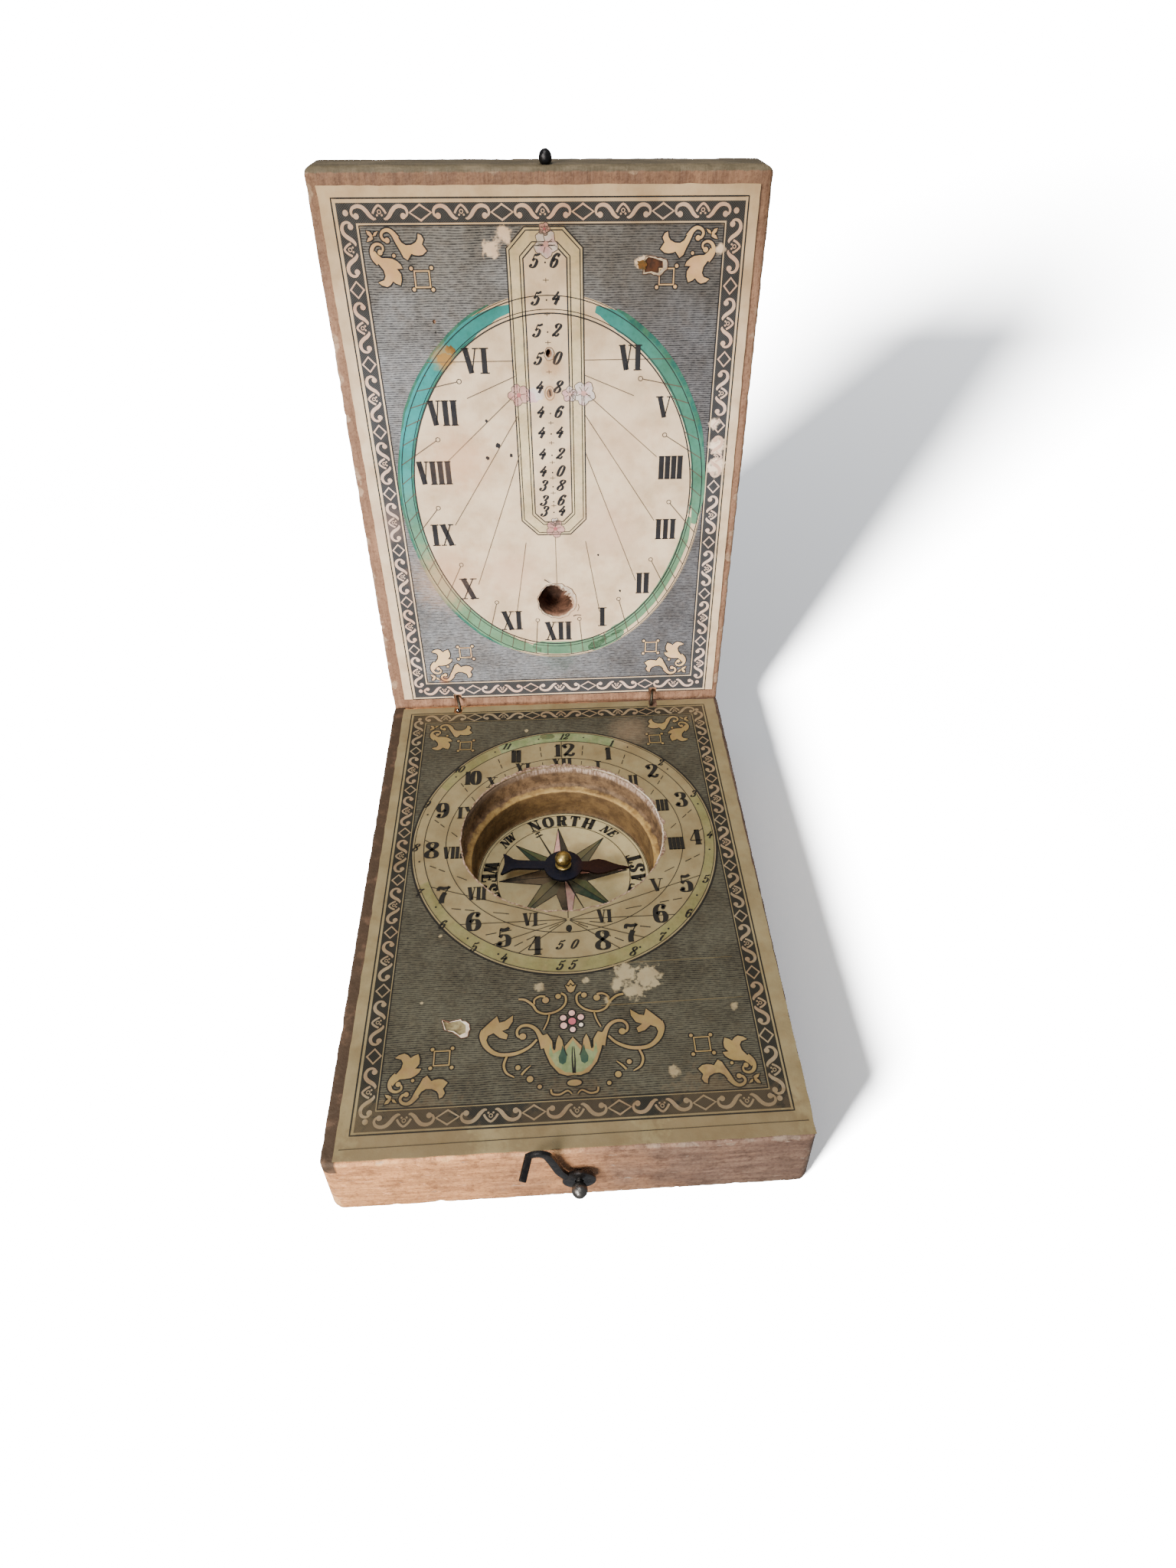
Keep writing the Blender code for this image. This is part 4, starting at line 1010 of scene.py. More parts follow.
    page.area("lilac", 4.8, ragged(-2.6, 62.1, 2.0, 1.1, 0.3, 30, 5.0))
    for x, y, radius, kind, seed in ((0.55, 83.9, 1.9, "lilac", 0.6), (0.4, 85.9, 0.9, "pink", 0.2),
                                     (-4.7, 62.2, 1.8, "pink", 1.4), (3.6, 62.2, 1.3, "lilac", 2.4),
                                     (5.9, 62.3, 2.0, "lilac", 0.9), (0.5, 38.6, 1.75, "pink", 0.3),
                                     (0.45, 39.9, 0.8, "lilac", 0.8)):
        blossom(page, x, y, radius, kind, seed)
    page.area("rust", 4.6, ragged(-16.2, 67.9, 1.15, 1.0, 0.45, 26, 8.0))
    page.area("rust", 4.6, ragged(-15.1, 69.3, 0.8, 0.6, 0.45, 22, 9.0))

    for hole, grow, seed in ((BOB, 1.07, 1.0), (LID_TEAR, 1.35, 2.0), (LID_STRING, 1.5, 3.0)):
        torn_rim(page, hole, grow, seed)
    page.holes = []
    page.area("hollow", -3, [(0.35 + 1.25 * (x - 0.35), 62.4 + 1.25 * (y - 62.4)) for x, y in DIMPLE],
              foot=-0.25)
    page.area("hollow", -3, ragged(16.7, 81.0, 1.9, 1.25, 0.1, 20, 2.0), foot=-0.25)
    for kind, layer, start, end, deep, seed in (("fibre", -3.5, -25, 105, 1.5, 3.0),
                                                ("torn", -1.2, -5, 88, 0.9, 8.0)):
        turns = [radians(start + (end - start) * i / 40) for i in range(41)]
        inner = [3.4 - deep * sin(pi * i / 40) * (0.75 + 0.9 * noise.noise(Vector((7 * a, seed, 0))))
                 for i, a in enumerate(turns)]
        page.area(kind, layer, [(0.25 + 3.6 * cos(a), 23.85 + 3.6 * sin(a)) for a in turns]
                  + [(0.25 + k * cos(a), 23.85 + k * sin(a)) for a, k in reversed(list(zip(turns, inner)))])
    page.area("rust", 7.6, ragged(15.0, 81.1, 0.75, 0.62, 0.5, 20, 12.0))
    page.ring("rust", 5, 0.35, 62.4, 0.78, 1.1, 0.16, count=24)
    page.line("ink", 6, [(0.3, 62.9), (0.42, 62.0)], 0.2)
    page.line("torn", 7, smooth([(-1.4, 28.3), (-0.9, 27.9), (-0.6, 27.5)], 3), 0.18)
    page.line("ink", 7, smooth([(-1.9, 28.4), (-1.2, 27.9), (-0.75, 27.6)], 3), 0.2, 0.06)
    page.line("ink", 7, smooth([(3.4, 20.4), (4.1, 20.6), (4.9, 20.5)], 3), 0.22, 0.12)
    page.line("faint", 7, smooth([(4.2, 21.4), (4.5, 22.3), (4.3, 23.0)], 3), 0.12)
    sheet = paper.object()
    page.object()
    return sheet


def torn_rim(page, hole, grow, seed):
    """A pale ragged ring of paper core round a hole, wider on one side, ringed by a painted shadow."""
    cx, cy = middle_of(hole)
    line = dense(hole, 0.35, True)
    outer = []
    for x, y in line:
        a = atan2(y - cy, x - cx)
        k = 1 + (grow - 1) * (0.75 + 0.55 * cos(a + 0.6) + 0.9 * round_noise(a, 5, seed))
        outer.append((cx + max(k, 1.01) * (x - cx), cy + max(k, 1.01) * (y - cy)))
    kept, page.holes = page.holes, []
    # Painted shadow: a dark line round the ring's outer edge.
    page.line("hollow", 6.9, outer, 0.22, closed=True)
    page.area("torn", 7, outer, [line])
    page.holes = kept


# ---------------------------------------------------------------- the base's print

def well_rim(angle):
    """The torn opening's radius, angle from the hinge side. It overhangs the near side of the bore."""
    return 17.6 + 0.95 * cos(angle) - 0.35 * cos(2 * angle) + 0.16 * round_noise(angle, 6, 2)


SHREDS = 120
WELL_X, WELL_Y = (WELL.x - PRINT_X) / MM, (WELL.y - HINGE_AT.y) / MM
WELL_EDGE = [(WELL_X + well_rim(a) * sin(a), WELL_Y + well_rim(a) * cos(a))
             for a in map(radians, range(0, 360, 2))]
BASE_STRING = ragged(0.2, -57.45, 0.5, 0.75, 0.2, 16, 5.0)
BASE_TEAR = [(-18.95, -72.9), (-17.9, -73.35), (-16.4, -73.1), (-15.5, -73.9), (-15.45, -75.1),
             (-16.3, -75.5), (-17.2, -74.8), (-18.4, -74.5)]

BASE_SHEET = Sheet("base", (0.226, 0.180, 0.093), (0.010, 0.009, 0.007),
                   ((0.108, 0.101, 0.068), (0.0080, 0.0070, 0.0055)),
                   [(-24.0, -1.5, 6.0, 4.0, (0.22, 0.15, 0.07), 0.4),
                    (28.0, -2.0, 6.0, 4.0, (0.24, 0.16, 0.08), 0.35),
                    (-31.0, -88.0, 4.0, 3.0, (0.2, 0.15, 0.07), 0.4),
                    (-13.0, -34.0, 4.0, 3.0, (0.36, 0.24, 0.12), 0.3),
                    (14.0, -10.0, 3.5, 2.5, (0.45, 0.30, 0.18), 0.3),
                    (0.0, -92.8, 9.0, 2.0, (0.12, 0.08, 0.04), 0.4),
                    (-22.0, -93.0, 9.0, 1.8, (0.12, 0.08, 0.04), 0.5),
                    (21.0, -93.0, 10.0, 1.8, (0.12, 0.08, 0.04), 0.5)],
                   [(8.4, -66.3, 1.6, 0.9), (11.8, -67.2, 1.9, 1.0), (9.6, -69.4, 1.4, 0.9),
                    (7.3, -68.4, 0.9, 0.6), (-6.7, -8.8, 0.35, 0.2), (2.4, -67.4, 0.5, 0.4),
                    (-4.8, -68.0, 0.6, 0.5), (14.2, -82.8, 0.7, 0.6), (-20.4, -57.8, 0.25, 0.2),
                    (-22.3, -69.8, 0.2, 0.15), (24.5, -73.0, 0.5, 0.5), (5.6, -70.9, 0.5, 0.4)])


def bouquet(page):
    """A tulip between scrolling stems and two trumpet flowers."""
    def stem(put, points, widths, ball=None):
        """A swelling line with a dark edge, perhaps with a ball at its end."""
        line = smooth(put(points), 5)
        widths = spread(widths, 5)
        page.line("ink", 2, line, 0, widths=[w + 0.42 for w in widths])
        page.line("bloom", 3, line, 0, widths=widths)
        if ball:
            (x, y), radius = put([ball[:2]])[0], ball[2]
            page.dot("ink", 2.3, x, y, radius + 0.2)
            page.dot("bloom", 3.5, x, y, radius)

    def half(put):
        stem(put, [(-7.2, 76.4), (-7.95, 76.1), (-8.05, 75.2), (-7.4, 74.5), (-6.3, 74.5), (-5.3, 75.2),
                   (-4.65, 76.5), (-4.2, 78.2)], (0.3, 0.34, 0.36, 0.4, 0.46, 0.55, 0.7, 0.9),
             (-7.25, 76.2, 0.5))
        stem(put, [(-5.2, 76.8), (-6.4, 78.0), (-8.4, 78.85), (-10.8, 78.8), (-12.4, 77.6), (-13.05, 76.0),
                   (-12.8, 75.0)], (0.3, 0.4, 0.5, 0.55, 0.7, 0.9, 1.1))
        page.reserve("bloom", put([(-13.4, 76.1), (-13.1, 74.7), (-11.9, 73.5), (-11.05, 72.7),
            (-10.7, 73.8), (-9.9, 73.6), (-8.7, 72.7), (-8.75, 73.7), (-9.4, 74.8), (-10.3, 75.15),
            (-9.4, 75.8), (-9.6, 76.5), (-10.6, 76.2), (-11.5, 75.4), (-12.3, 75.8), (-12.6, 76.8)]))
        stem(put, [(-9.5, 79.2), (-9.9, 80.5), (-9.5, 81.7), (-8.4, 82.4)], (0.3, 0.34, 0.3, 0.16))
        stem(put, [(-7.4, 82.1), (-6.8, 81.4), (-6.1, 80.8)], (0.3, 0.26, 0.12), (-7.9, 81.0, 0.36))
        for x, y, radius in ((-6.2, 82.8, 0.46), (-4.85, 84.0, 0.3)):
            page.dot("ink", 2, *put([(x, y)])[0], radius + 0.2)
            page.dot("bloom", 3, *put([(x, y)])[0], radius)
        stem(put, [(-3.3, 84.5), (-3.1, 85.15), (-2.1, 85.3), (-1.0, 84.8), (-0.4, 85.3)],
             (0.28, 0.26, 0.26, 0.22, 0.16))
        stem(put, [(-7.9, 70.0), (-6.9, 70.2), (-5.8, 71.1), (-5.1, 72.2), (-3.8, 72.7), (-2.1, 72.3),
                   (-0.95, 71.2), (-0.85, 69.9), (-1.5, 69.35)],
             (0.3, 0.36, 0.36, 0.32, 0.3, 0.3, 0.3, 0.3, 0.3), (-1.95, 69.85, 0.42))
        stem(put, [(-5.55, 71.0), (-5.5, 70.2), (-4.7, 69.7), (-3.9, 69.8)], (0.26, 0.26, 0.3, 0.34),
             (-3.85, 70.4, 0.5))
        stem(put, [(-3.3, 72.75), (-3.6, 74.0), (-4.2, 75.3)], (0.22, 0.22, 0.2))
        petal = [(-4.9, 75.6), (-4.3, 76.2), (-3.7, 76.0), (-3.4, 76.5), (-3.0, 77.2), (-2.95, 78.4),
                 (-2.6, 78.4), (-2.3, 77.0), (-2.0, 76.3), (-1.55, 77.1), (-1.35, 78.3), (-0.9, 77.8),
                 (0.0, 76.7), (0.0, 82.5), (-0.9, 82.6), (-2.1, 82.2), (-3.3, 80.7), (-4.0, 78.9),
                 (-4.45, 77.2)]
        page.reserve("bloom", put(petal))
        page.area("palegreen", 4.4, put([(-3.3, 77.6), (-2.9, 79.2), (-1.9, 78.6), (-1.2, 79.0),
            (0.0, 77.2), (0.0, 82.2), (-1.2, 82.1), (-2.6, 81.0), (-3.5, 79.2)]))
        page.area("deepgreen", 5, put([(-1.55, 77.9), (-1.3, 78.7), (-0.95, 79.7), (-1.1, 80.6),
            (-1.55, 80.9), (-2.05, 80.6), (-2.15, 79.8), (-1.75, 78.9)]))
        page.line("ink", 6, put(smooth([(-2.75, 78.6), (-2.6, 78.0), (-2.75, 77.3)], 3)), 0.3, 0.14)
        page.line("ink", 6, put(smooth([(-1.35, 77.8), (-1.2, 78.8), (-0.9, 79.6)], 3)), 0.14)
        page.line("ink", 6, put(smooth([(-0.12, 78.2), (-0.2, 80.2), (-0.1, 82.3)], 3)), 0.08, 0.3)

    half(lambda points: [(0.1 + x, -y) for x, y in points])
    half(lambda points: [(0.1 - x, -y) for x, y in points])
    for outline in ([(0, 67.0), (0.6, 67.9), (0.25, 68.0), (0, 67.6), (-0.25, 68.0), (-0.6, 67.9)],
        [(-0.85, 68.0), (-0.3, 68.3), (0, 67.9), (0.3, 68.3), (0.85, 68.0), (0.4, 69.1), (0, 69.3),
         (-0.4, 69.1)], oval(0, 83.7, 1.0, 0.46, count=20)):
        page.reserve("bloom", [(0.1 + x, -y) for x, y in outline])
    for x, y, radius, kind in ((0, 72.8, 0.46, "pink"), (-1.3, 73.55, 0.46, "pink"),
                               (1.3, 73.55, 0.46, "pink"), (-1.25, 74.8, 0.5, "pink"),
                               (1.3, 74.8, 0.32, "torn"), (0.05, 75.5, 0.42, "pink"),
                               (0.0, 74.15, 0.56, "rose")):
        page.dot("ink", 4, 0.1 + x, -y, radius + 0.22)
        page.dot(kind, 5, 0.1 + x, -y, radius)


def draw_base():
    """The flat dial round the well, and the bouquet below it. Returns the sheet."""
    holes = [WELL_EDGE, BASE_STRING, BASE_TEAR]
    page = Page("base_print", BASE_PLACE, "base", BASE_SHEET, holes)
    paper = Page("base_paper", BASE_PLACE, "base", BASE_SHEET, holes)
    paper.area("paper", 0, wobbled(notched(-31.9, 32.3, -0.75, -92.75, -1.0), 0.2, 1.5, 5.0), foot=-0.16)
    page.holes = holes + ring_gaps(-1.0)
    page.area("border", 1, rectangle(-29.65, 29.55, -89.0, -2.95), [rectangle(-27.15, 27.2, -86.25, -5.4)],
              keep_holes=False)
    page.area("field", 1, rectangle(-26.8, 26.85, -85.9, -5.75))
    for line in ((-30.15, 29.95, -89.4, -2.55, 0.2), (-26.9, 26.95, -86.0, -5.65, 0.2)):
        frame_line(page, "ink", 2, *line)
    page.line("faint", 2, dense([(-31.3, -91.2), (31.6, -90.9)], 1.0), 0.1)
    border(page, -28.3, 28.3, -87.6, -4.2, 11.7, 0.3, -45.9)
    for across, down, x, y in ((1, -1, -26.9, -5.6), (-1, -1, 27.0, -5.6), (1, 1, -26.9, -86.0),
                               (-1, 1, 27.0, -86.0)):
        corner(page, x, y, across, down)
    for left, right, y in ((-6.0, 25.5, -64.6), (4.5, 26.0, -71.8)):
        page.line("crease", 2.2, dense([(left, y), (right, y + 0.3)], 1.0), 0.13, 0.06)
    bouquet(page)

    cx, cy = 0.1, -37.85
    page.line("ink", 1.6, oval(cx, cy, 26.75, 28.2, count=160), 0.5, closed=True)
    page.area("paper", 2.6, oval(cx, cy, 26.65, 28.1, count=160))
    for kind, start, end in (("palegreen", 66, 118), ("tinge", 118.5, 150), ("tinge", 200, 380)):
        count = int(abs(end - start) / 2)
        page.area(kind, 3.2, oval(cx, cy, 26.3, 27.75, start, end, count)
                  + oval(cx, cy, 24.8, 25.4, start, end, count)[::-1])
    page.area("green", 4.0, ragged(-2.6, -10.9, 1.5, 0.8, 0.3, 20, 3.0))
    for rx, ry, width in ((26.35, 27.8, 0.1), (24.7, 25.3, 0.12), (20.9, 20.4, 0.11)):
        page.ring("ink", 5, cx, cy, rx, ry, width, count=200)
    origin = ox, oy = 0.12, -55.75
    flat = sin(LATITUDE)

    def ray(hour):
        turn = atan2(flat * sin(radians(15 * hour)), cos(radians(15 * hour)))
        return sin(turn), cos(turn)

    def reach(dx, dy, rx, ry):
        far = 0.5
        while hypot((ox + dx * far - cx) / rx, (oy + dy * far - cy) / ry) < 1:
            far += 0.05
        return far

    for hour in (0, 4, 5, 6, 7, 8, -4, -5, -6, -7, -8):
        dx, dy = ray(hour)
        far = reach(dx, dy, 24.7, 25.3)
        start = far - 2.0 if abs(hour) == 4 else 0.3
        spoke(page, "faint", origin, (dx, dy), start, far, 0.14, 0.8)
    for half in range(-15, 16, 2):
        dx, dy = ray(half / 2)
        outer, inner = reach(dx, dy, 24.0, 24.4), reach(dx, dy, 21.6, 21.3)
        for a, b in ((0.05, 0.42), (0.58, 0.95)):
            spoke(page, "ink", origin, (dx, dy), inner + (outer - inner) * a, inner + (outer - inner) * b,
                  0.14, UNBROKEN)
        near, far = reach(dx, dy, 19.0, 18.8), reach(dx, dy, 20.2, 19.8)
        if 0 < near < far:
            spoke(page, "ink", origin, (dx, dy), near, far, 0.12, UNBROKEN)
        middle = reach(dx, dy, 25.5, 26.6)
        page.dot("ink", 6, ox + dx * middle, oy + dy * middle, 0.17, count=8)

    big = (("12", 0.6, 15.1, 4.3), ("11", -8.75, 16.35, 1.9), ("1", 9.1, 16.5, 1.5),
           ("10", -16.9, 21.9, 3.2), ("2", 17.25, 21.9, 2.3), ("9", -22.0, 30.1, 2.2),
           ("3", 21.85, 29.75, 2.2), ("8", -23.1, 39.6, 2.3), ("4", 23.25, 39.1, 2.2),
           ("7", -20.5, 49.6, 2.2), ("5", 20.15, 49.4, 2.2), ("6", -15.15, 55.3, 2.3),
           ("6", 15.25, 55.4, 2.3), ("5", -10.25, 58.65, 2.2), ("7", 10.15, 59.0, 2.2),
           ("4", -5.25, 60.5, 2.4), ("8", 5.5, 60.1, 2.3))
    for text, x, d, width in big:
        write(page, text, x, -d, 3.55, width, thick=0.25, thin=0.05)
    small = (("12", 0.85, 11.15), ("11", -10.5, 13.4), ("1", 10.1, 13.6), ("10", -19.4, 19.4),
             ("2", 19.25, 19.65), ("9", -24.9, 28.4), ("3", 24.4, 28.4), ("8", -25.9, 38.85),
             ("4", 25.85, 38.75), ("7", -24.5, 48.9), ("5", 23.75, 48.65), ("6", -20.1, 55.65),
             ("6", 19.9, 55.65), ("5", -14.85, 60.25), ("7", 15.0, 60.0), ("4", -10.1, 62.6),
             ("8", 10.25, 62.5))
    for text, x, d in small:
        write(page, text, x, -d, 1.6, thick=0.2, thin=0.07, lean=0.45)
    for text, x, d in (("5", -1.25, 60.6), ("0", 1.05, 60.6), ("5", -1.3, 64.4), ("5", 0.6, 64.4)):
        write(page, text, x, -d, 1.6, thick=0.2, thin=0.08, lean=0.5)
    roman = (("XII", 0.15, 18.9, 2.9, 3.9), ("XI", -7.4, 19.9, 2.9, 3.0), ("I", 7.0, 19.9, 2.6, 1.4),
             ("X", -13.2, 23.3, 2.7, 2.2), ("II", 13.4, 24.2, 2.7, 1.9), ("IX", -17.7, 30.9, 2.8, 3.2),
             ("III", 18.2, 31.0, 2.8, 2.3), ("VIII", -19.3, 40.4, 2.7, 3.6),
             ("IIII", 19.65, 40.4, 2.8, 2.8), ("VII", -14.9, 49.6, 2.7, 3.2), ("V", 15.2, 49.5, 2.7, 2.4),
             ("VI", -6.0, 55.4, 2.5, 2.6), ("VI", 6.05, 55.4, 2.5, 2.5))
    for text, x, d, height, width in roman:
        write(page, text, x, -d, height, width, thick=0.23, thin=0.05)
    torn_rim(page, BASE_TEAR, 1.28, 4.0)
    page.holes = []
    # Painted shade: a dark disc in the string hole stands for its shaded inside.
    page.area("ink", -2, ragged(0.2, -57.45, 0.75, 1.0, 0.1, 20, 1.0), foot=-0.12)
    page.area("bare", -4, ragged(-17.2, -74.2, 2.2, 1.5, 0.1, 24, 1.0), foot=-0.25)
    for layer, kind, start, end, reach, seed in ((6.4, "fibre", -64, 122, 0.75, 1.0),
                                                 (7.2, "torn", 20, 112, 0.22, 7.0),
                                                 (6.8, "fibre", 122, 290, 0.22, 4.0)):
        inner, outer = [], []
        for i in range(SHREDS + 1):
            a = radians(start + (end - start) * i / SHREDS)
            shred = round_noise(a, 9, seed) + 0.6 * round_noise(a, 30, seed)
            ease = min(1.0, i / 12, (SHREDS - i) / 12)
            near = well_rim(a) - 0.12 + 0.1 * shred
            far = near + 0.1 + ease * max(0.05, reach * (0.55 + 0.8 * shred))
            inner.append((WELL_X + near * sin(a), WELL_Y + near * cos(a)))
            outer.append((WELL_X + far * sin(a), WELL_Y + far * cos(a)))
        page.area(kind, layer, inner + outer[::-1], keep_holes=False)
    sheet = paper.object()
    page.object()
    return sheet


# ---------------------------------------------------------------- the compass card

CARD_SHEET = Sheet("card", (0.50, 0.42, 0.225), (0.018, 0.017, 0.014),
                   ((0.3, 0.26, 0.15), (0.02, 0.02, 0.015)),
                   [(-3.0, -2.0, 5.0, 3.0, (0.40, 0.28, 0.16), 0.3),
                    (5.0, 5.0, 3.0, 2.0, (0.42, 0.30, 0.17), 0.25)], [])


def draw_card():
    """The wind rose and its letters."""
    pivot = oval(0, 0, 0.55, 0.55, count=20)
    page = Page("compass_print", CARD_PLACE, "base", CARD_SHEET, [pivot])
    page.area("paper", 0, oval(0, 0, 15.9, 15.9, count=120), foot=-0.2)
    for radius, width in ((15.75, 0.12), (12.3, 0.13), (15.2, 0.09)):
        page.ring("ink", 3, 0, 0, radius, radius, width, count=150)
    for i in range(8):
        a = radians(45 * i)
        tip = (11.95 * sin(a), 11.95 * cos(a))
        for side in (-1, 1):
            b = a + side * radians(22.5)
            valley = (4.5 * sin(b), 4.5 * cos(b))
            if i % 2:
                kind = "deepgreen" if (side > 0) == (i in (1, 3)) else "green"
            else:
                # The west point's pink half is hatched grey too, painted shadow of the needle over it.
                kind = "grey" if side > 0 or i == 6 else "pink"
            page.area(kind, 1.4, [(0, 0), tip, valley] if side < 0 else [(0, 0), valley, tip])
            page.line("ink", 3, [tip, valley], 0.13 if i % 4 else 0.1)
        page.line("ink", 3, [(0.6 * sin(a), 0.6 * cos(a)), tip], 0.12)
    a = radians(-20.2)
    page.line("ink", 4, [(0, 0), (12.4 * sin(a), 12.4 * cos(a))], 0.55, 0.12)
    page.line("ink", 4, [(0, 0), (-9.8 * sin(a), -9.8 * cos(a))], 0.42, 0.1)
    for reach, half in ((11.0, 0.75), (11.8, 0.5)):
        x, y = reach * sin(a), reach * cos(a)
        ends = [(x - half * cos(a), y + half * sin(a)), (x + half * cos(a), y - half * sin(a))]
        page.line("ink", 4, ends, 0.2)
        page.line("ink", 4, [(x - 0.4, y - 0.4), (x + 0.4, y + 0.4)], 0.16)
    for letter, turn in zip("NORTH", (-19.0, -7.5, 3.5, 14.5, 26.0)):
        b = radians(turn)
        write(page, letter, 13.75 * sin(b), 13.75 * cos(b), 2.45, thick=0.32, thin=0.10, turn=-b)
    for text, middle, step in (("EAST", 90.0, -10.0), ("WEST", -90.0, -10.0)):
        for i, letter in enumerate(text):
            b = radians(middle + (4.0 if middle > 0 else -1.0) + (i - 1.5) * step)
            write(page, letter, 13.75 * sin(b), 13.75 * cos(b), 2.6, thick=0.33, thin=0.10, turn=pi - b)
    for text, middle in (("NE", 45.0), ("NW", -45.0)):
        for i, letter in enumerate(text):
            b = radians(middle + (i - 0.5) * 7.0)
            write(page, letter, 13.9 * sin(b), 13.9 * cos(b), 1.8, thick=0.3, thin=0.12, turn=-b, lean=0.3)
    return page.object()


# ---------------------------------------------------------------- worn wooden leaves

# The leaf's edges are drawn out within this distance of them, in millimetres.
REACH_FROM = 3.0
# The grain of the remade mesh, in millimetres, and the share of its faces that is kept.
VOXEL = 0.4
KEPT_SHARE = 0.4


def worn_leaf(node, name, body, place, wear, seed, reach, widen, far_reach, flare, corner_radius):
    """The CAD leaf, remade finely, its edges rubbed and chipped inwards, in its own place.

    How worn each point is goes with it for its colour. Then the corners away from the hinge are rounded,
    and the leaf's edges are drawn out: reach at the hinge end, far_reach at the far end, widen on each side
    (at the hinge, then at the far end) and flare towards the foot, all in millimetres.
    """
    mesh = frame["nodes"][node].data.copy()
    mesh.transform(place.inverted())
    made = bpy.data.objects.new(name, mesh)
    bpy.context.scene.collection.objects.link(made)
    remesh = made.modifiers.new("even", "REMESH")
    remesh.mode, remesh.voxel_size = "VOXEL", VOXEL * MM
    graph = bpy.context.evaluated_depsgraph_get()
    fine = bpy.data.meshes.new_from_object(made.evaluated_get(graph))
    made.modifiers.clear()
    made.data = fine
    low, high = [[end(v.co[k] for v in fine.vertices) for k in range(3)] for end in (min, max)]
    rub = fine.attributes.new("rub", "FLOAT", "POINT")
    values, moves = [], []
    for vertex in fine.vertices:
        at = vertex.co / MM
        near, next_near, _ = sorted(min(vertex.co[k] - low[k], high[k] - vertex.co[k]) / MM for k in range(3))
        edge = max(0.0, 1 - (near + next_near) / 1.5)
        rough = noise.fractal(at * 0.6 + Vector((seed, 0, 0)), 0.8, 2.0, 4)
        chip = max(0.0, noise.noise(at * 0.45 + Vector((0, seed, 0))) + 0.3 * rough - 0.3) if edge else 0.0
        deep = 0.02 * (1 + rough) + wear * edge * (edge * (0.5 + 0.4 * rough) + 2.5 * chip)
        values.append(min(1.0, edge * (0.5 + 0.6 * rough + 5 * chip)))
        moves.append(vertex.normal * (-max(deep, 0.0) * MM))
    for vertex, move in zip(fine.vertices, moves):
        vertex.co += move
    rub.data.foreach_set("value", values)
    thin = made.modifiers.new("thin", "DECIMATE")
    thin.ratio = KEPT_SHARE
    graph = bpy.context.evaluated_depsgraph_get()
    fine = bpy.data.meshes.new_from_object(made.evaluated_get(graph))
    made.modifiers.clear()
    made.data = fine
    fine.polygons.foreach_set("use_smooth", [True] * len(fine.polygons))
    radius = corner_radius * MM
    for vertex in fine.vertices:
        x, y, z = vertex.co
        side = 1 if x > (low[0] + high[0]) / 2 else -1
        beyond = (x - high[0] if side > 0 else low[0] - x) + radius, low[1] - y + radius
        out_by = hypot(*beyond)
        if min(beyond) > 0 and out_by > radius:
            x += side * beyond[0] * (radius / out_by - 1)
            y -= beyond[1] * (radius / out_by - 1)
        along = (high[1] - y) / (high[1] - low[1])
        near, far = widen[side]
        edge = max(0.0, 1 - abs(x - (high[0] if side > 0 else low[0])) / (REACH_FROM * MM))
        x += side * edge * MM * (near + (far - near) * along + flare * (1 - z / high[2]))
        y += reach * MM * max(0.0, 1 - (high[1] - y) / (REACH_FROM * MM))
        y -= far_reach * MM * max(0.0, 1 - (y - low[1]) / (REACH_FROM * MM))
        vertex.co = (x, y, z)
    made.matrix_world = place
    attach(made, body)
    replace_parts(made, node)
    return made


def wood(name, light, dark, pale, grain, extra=None):
    """Stained wood: long streaks, pores, darker handling dirt, and bare paler wood where it is rubbed."""
    shade = Shade(name)
    streaks = shade.noise(1.0, 6.0, 0.65, where=shade.place(scale=grain))
    colour = shade.mix(shade.step(streaks, 0.34, 0.68), dark, light)
    fine = shade.noise(1.0, 3.0, 0.6, where=shade.place(scale=tuple(3.2 * g for g in grain)))
    colour = shade.mix(shade.step(fine, 0.52, 0.72, 0.0, 0.5), colour, tuple(0.55 * c for c in dark))
    blotch = shade.noise(0.13, 5.0, 0.65, where=shade.place(offset=(3, 8, 1)))
    colour = shade.mix(shade.step(blotch, 0.4, 0.66, 0.0, 0.6), colour, tuple(0.6 * c for c in light))
    rub = shade.add("ShaderNodeAttribute", attribute_name="rub").outputs["Fac"]
    ragged_rub = shade.plus(rub, shade.waver(0.9, 1.3, 5.0, 0.7))
    colour = shade.mix(shade.step(ragged_rub, 0.38, 0.75, 0.0, 0.85), colour, pale)
    orange = shade.step(shade.noise(0.9, 4.0, 0.7, where=shade.place(offset=(9, 2, 30))), 0.66, 0.74, 0.0,
        0.5)
    colour = shade.mix(shade.times(orange, shade.step(rub, 0.0, 0.4, 0.15, 1.0)), colour, (0.58, 0.27, 0.10))
    speckle = shade.step(shade.noise(1.7, 6.0, 0.78, where=shade.place(offset=(2, 6, 4))), 0.47, 0.62, 0.0,
        0.6)
    colour = shade.mix(speckle, colour, (0.50, 0.44, 0.42), "MULTIPLY")
    if extra:
        colour = extra(shade, colour)
    pits = shade.plus(fine, shade.times(shade.noise(2.2, 5.0, 0.7), 0.8))
    return shade.finish(colour, shade.step(streaks, 0.3, 0.7, 0.55, 0.78), bump=pits, depth=0.25,
        specular=0.3)


